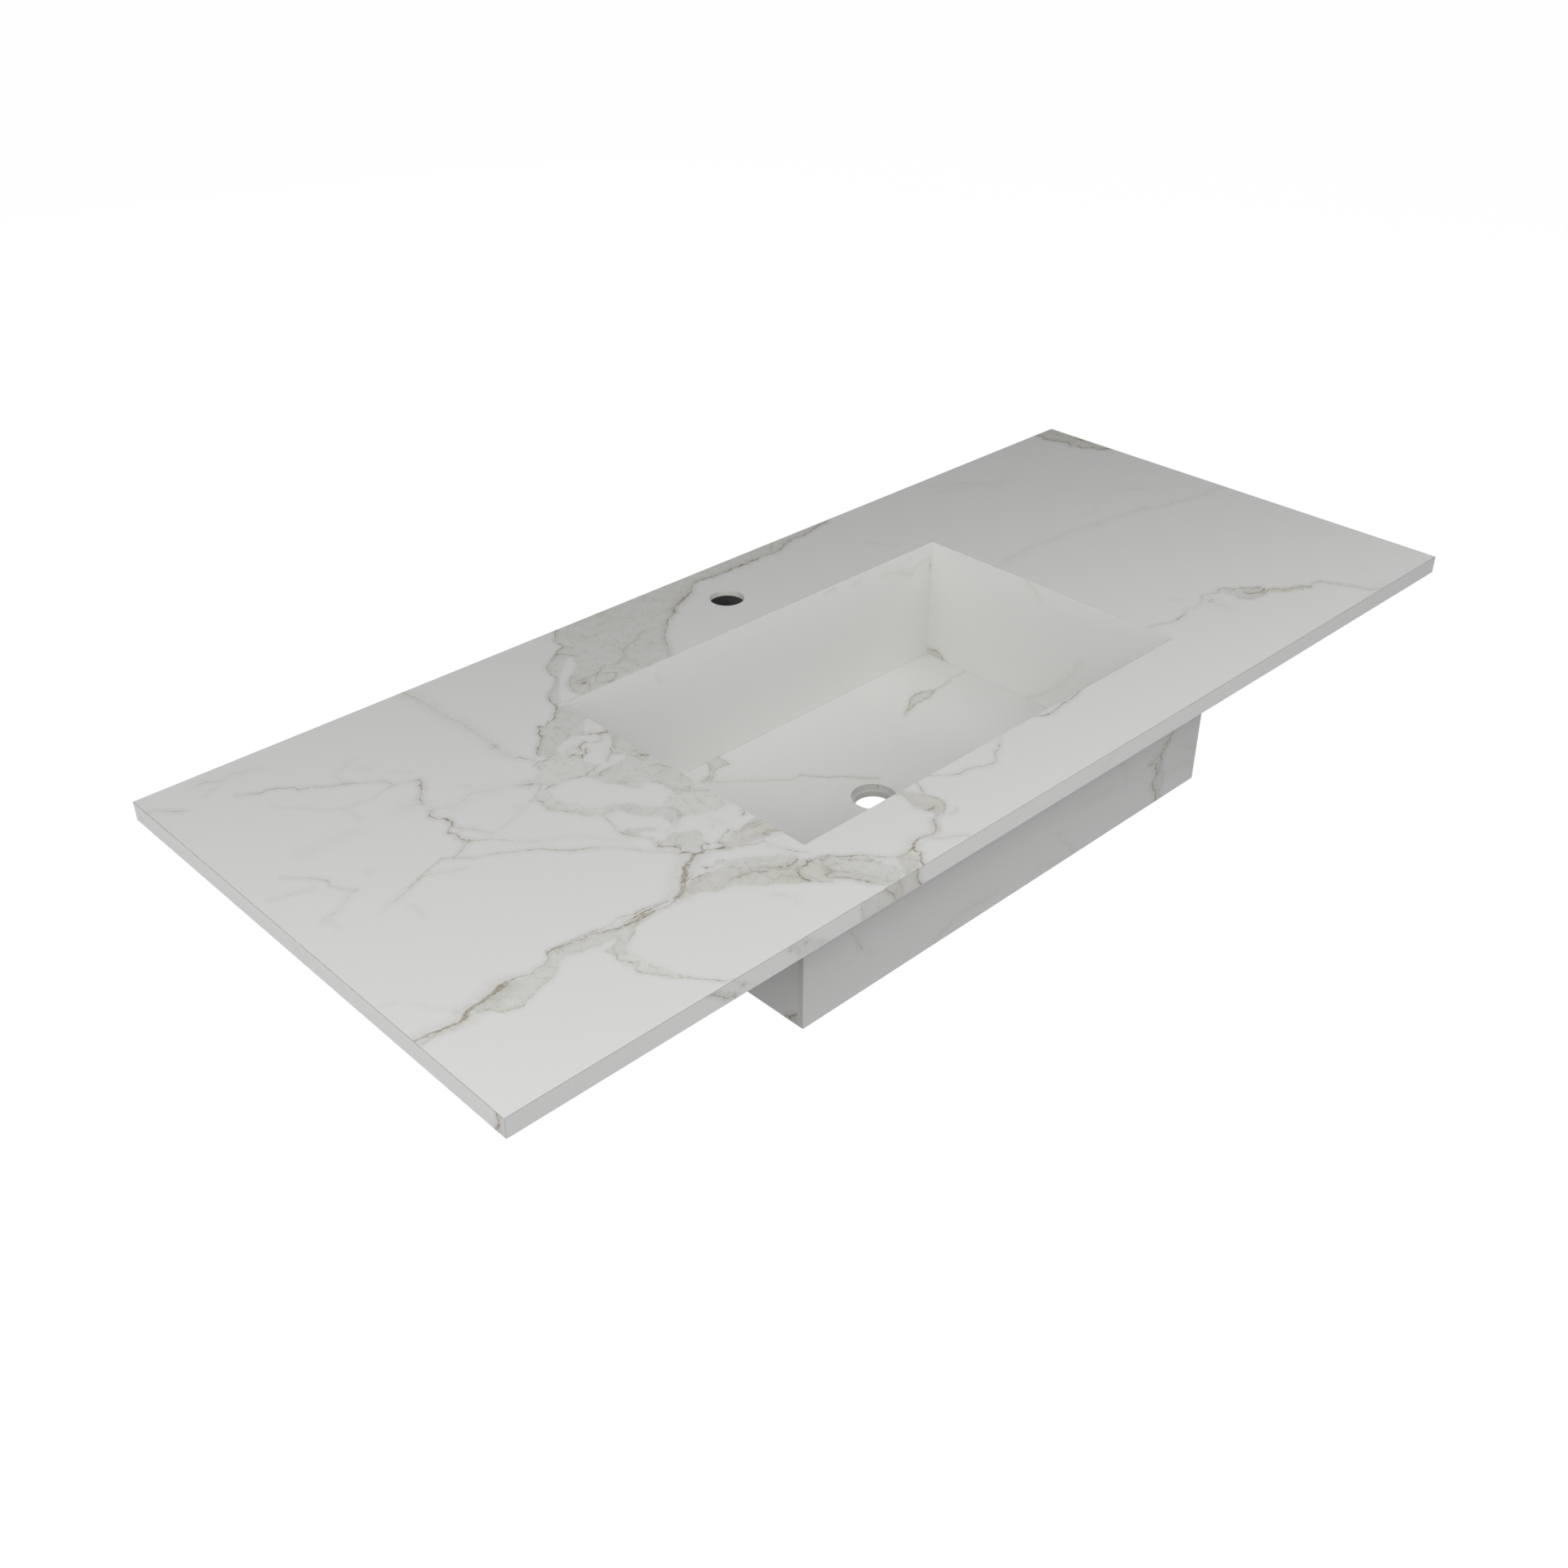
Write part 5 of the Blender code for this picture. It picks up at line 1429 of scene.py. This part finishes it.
@dataclass
class Studio:
    """The white studio: a floor, an even world, soft lamps and the camera."""

    world_level: float = 0.1
    lens_mm: float = 38.9749
    sensor_mm: float = 36.0
    eye: Corner = (-1.031427, -0.958185, 0.930370)
    turn_degrees: Corner = (57.187707, 0.019316, -44.022228)
    floor_half: float = 12.0
    # What the floor throws back at the object, how bright the camera sees it, and how much of the
    # lamps' light, and so of the shadow, the camera sees on it
    floor_grey: float = 0.05
    floor_glow: float = 0.985
    floor_shade: float = 0.05
    # The black flag that the glaze mirrors: its cloth, where it stands and how large it is
    flag_grey: float = 0.02
    flag_lift: float = 0.01
    flag_foot: Point = (1.7, 1.7)
    flag_size: Point = (7.0, 3.2)
    # What every lamp looks at
    aim: Corner = (0.0, 0.0, 0.1)
    lamps: tuple[SoftBox, ...] = (
        SoftBox("top_front_left", (-1.3, -1.3, 1.9), 1.2, 19.5),
        SoftBox("top_back_left", (-1.3, 1.3, 1.9), 1.2, 2.7),
        SoftBox("left_low", (-2.4, 0.0, 0.6), 1.2, 7.4),
        SoftBox("left_high", (-2.2, 0.0, 1.4), 1.2, 3.6),
        SoftBox("front_right", (1.8, -1.8, 0.7), 1.2, 3.4),
        SoftBox("right", (2.2, 0.0, 1.2), 1.2, 3.1),
        SoftBox("near_front_left", (-1.1, -0.9, 1.0), 0.7, 1.3),
        SoftBox("near_left", (-1.3, 0.1, 1.0), 0.7, 2.7),
        SoftBox("near_front", (0.0, -1.2, 1.0), 0.7, 4.4),
        SoftBox("near_right", (0.6, -0.5, 1.2), 0.7, 3.0),
        SoftBox("foot_front", (-0.9, -2.0, 0.25), 0.8, 7.0),
        SoftBox("foot_left", (-2.4, -0.2, 0.25), 0.8, 3.5),
        SoftBox("back", (0.8, 2.6, 0.2), 1.0, 7.0),
    )

    def background_share(self, tree: bpy.types.NodeTree) -> Socket:
        """Makes 1 for rays that should see the white background, and 0 for light on the object.

        Args:
            tree: the tree of the world or of the floor's material.

        Returns:
            The share, for a Mix Shader.
        """
        path = add_node(tree, "ShaderNodeLightPath")
        seen = add_node(tree, "ShaderNodeMath", [path.outputs["Is Camera Ray"],
                                                 path.outputs["Is Glossy Ray"]], operation="MAXIMUM")
        return add_node(tree, "ShaderNodeMath", [seen.outputs[0], path.outputs["Is Transmission Ray"]],
                        operation="MAXIMUM").outputs[0]

    def make_world(self) -> None:
        """Sets the even world light behind a white background."""
        world = bpy.data.worlds.new("studio")
        bpy.context.scene.world = world
        world.use_nodes = True
        tree = world.node_tree
        tree.nodes.clear()
        light = add_node(tree, "ShaderNodeBackground", [WHITE, self.world_level])
        white = add_node(tree, "ShaderNodeBackground", [WHITE, 1.0])
        either = add_node(tree, "ShaderNodeMixShader", [self.background_share(tree), light, white])
        add_node(tree, "ShaderNodeOutputWorld", [either])

    def make_floor(self) -> None:
        """Lays the pale floor, which shows white and keeps a faint shadow."""
        material = blank_material("Matte white studio floor")
        tree = material.node_tree
        paint, faint = (add_node(tree, "ShaderNodeBsdfDiffuse", [(grey, grey, grey, 1)])
                        for grey in (self.floor_grey, self.floor_shade))
        glow = add_node(tree, "ShaderNodeEmission", [WHITE, self.floor_glow])
        white = add_node(tree, "ShaderNodeAddShader", [faint, glow])
        either = add_node(tree, "ShaderNodeMixShader", [self.background_share(tree), paint, white])
        add_node(tree, "ShaderNodeOutputMaterial", [either])
        half = self.floor_half
        floor = self.panel("studio_floor",
                           [(x, y, 0) for x, y in EpoxyJoints.loop(-half, half, -half, half)],
                           material)

    @staticmethod
    def panel(name: str, corners: list[Corner], material: bpy.types.Material) -> bpy.types.Object:
        """Makes a four-cornered panel.

        Args:
            name: the panel's name.
            corners: its corners in order.
            material: what it is made of.

        Returns:
            The panel.
        """
        mesh = bpy.data.meshes.new(name)
        mesh.from_pydata(corners, [], [(0, 1, 2, 3)])
        mesh.materials.append(material)
        return add_object(name, mesh)

    def stand_flag(self) -> None:
        """Stands a black flag behind the top, which only the glaze's reflections see."""
        x, y = self.flag_foot
        wide, high = self.flag_size
        away = Vector((x - self.eye[0], y - self.eye[1], 0)).normalized()
        side = Vector((away.y, -away.x, 0)) * wide / 2
        foot, rise = Vector((x, y, self.flag_lift)), Vector((0, 0, high))
        corners = [foot - side, foot + side, foot + side + rise, foot - side + rise]
        cloth = blank_material("Black studio cloth")
        grey = self.flag_grey
        dull = add_node(cloth.node_tree, "ShaderNodeBsdfDiffuse", [(grey, grey, grey, 1)])
        add_node(cloth.node_tree, "ShaderNodeOutputMaterial", [dull])
        flag = self.panel("black_flag", [tuple(c) for c in corners], cloth)
        flag.visible_camera = flag.visible_diffuse = False
        flag.visible_shadow = flag.visible_transmission = False

    def hang_lamps(self) -> None:
        """Hangs the soft lamps."""
        for box in self.lamps:
            lamp = bpy.data.lights.new(box.name, "AREA")
            lamp.shape, lamp.size, lamp.energy = "DISK", box.size, box.watts
            holder = add_object(box.name, lamp)
            holder.location = box.place
            look = Vector(self.aim) - Vector(box.place)
            holder.rotation_euler = look.to_track_quat("-Z", "Y").to_euler()

    def set_camera(self) -> None:
        """Sets the camera where the photograph was taken from."""
        lens = bpy.data.cameras.new("camera")
        lens.sensor_width, lens.lens = self.sensor_mm, self.lens_mm
        camera = add_object("camera", lens)
        camera.location = self.eye
        camera.rotation_euler = [math.radians(a) for a in self.turn_degrees]
        bpy.context.scene.camera = camera

    def build(self) -> None:
        """Sets up the whole studio."""
        bpy.context.scene.view_settings.view_transform = "Standard"
        self.make_world()
        self.make_floor()
        self.stand_flag()
        self.hang_lamps()
        self.set_camera()
        LOG.info("studio: %d lamps", len(self.lamps))


def main() -> None:
    """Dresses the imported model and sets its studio."""
    logging.basicConfig(level=logging.INFO, format="%(message)s")
    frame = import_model()
    stoneware = PorcelainStoneware()
    # The bowl is cut from a sheet whose glaze is a trace warmer
    bowl_stoneware = PorcelainStoneware(glaze="#dcdcda")
    for piece, printed in SLAB_PRINTS.items():
        sheet = bowl_stoneware if piece.startswith("bowl_wall") else stoneware
        for slot in frame["nodes"][piece].material_slots:
            slot.material = sheet.material(f"Porcelain stoneware, {piece.replace('_', ' ')}", printed)
        LOG.info("%s: %d veins, %d fills", piece, len(printed.veins), len(printed.fills))
    floor = bowl_stoneware.material("Porcelain stoneware, bowl floor", FLOOR_PRINT)
    for side in ("front", "right", "back", "left"):
        for slot in frame["nodes"][f"floor_facet_{side}"].material_slots:
            slot.material = floor
    board = CompactLaminate().material("Compact laminate board")
    mortar = AdhesiveMortar().material("Adhesive mortar")
    for name, node in frame["nodes"].items():
        if "core" in name or name == "floor_bed":
            for slot in node.material_slots:
                slot.material = mortar if name == "floor_bed" else board
    EpoxyJoints().build(EpoxyJoint().material("Tinted epoxy joint"))
    Studio().build()


if __name__ == "__main__":
    main()
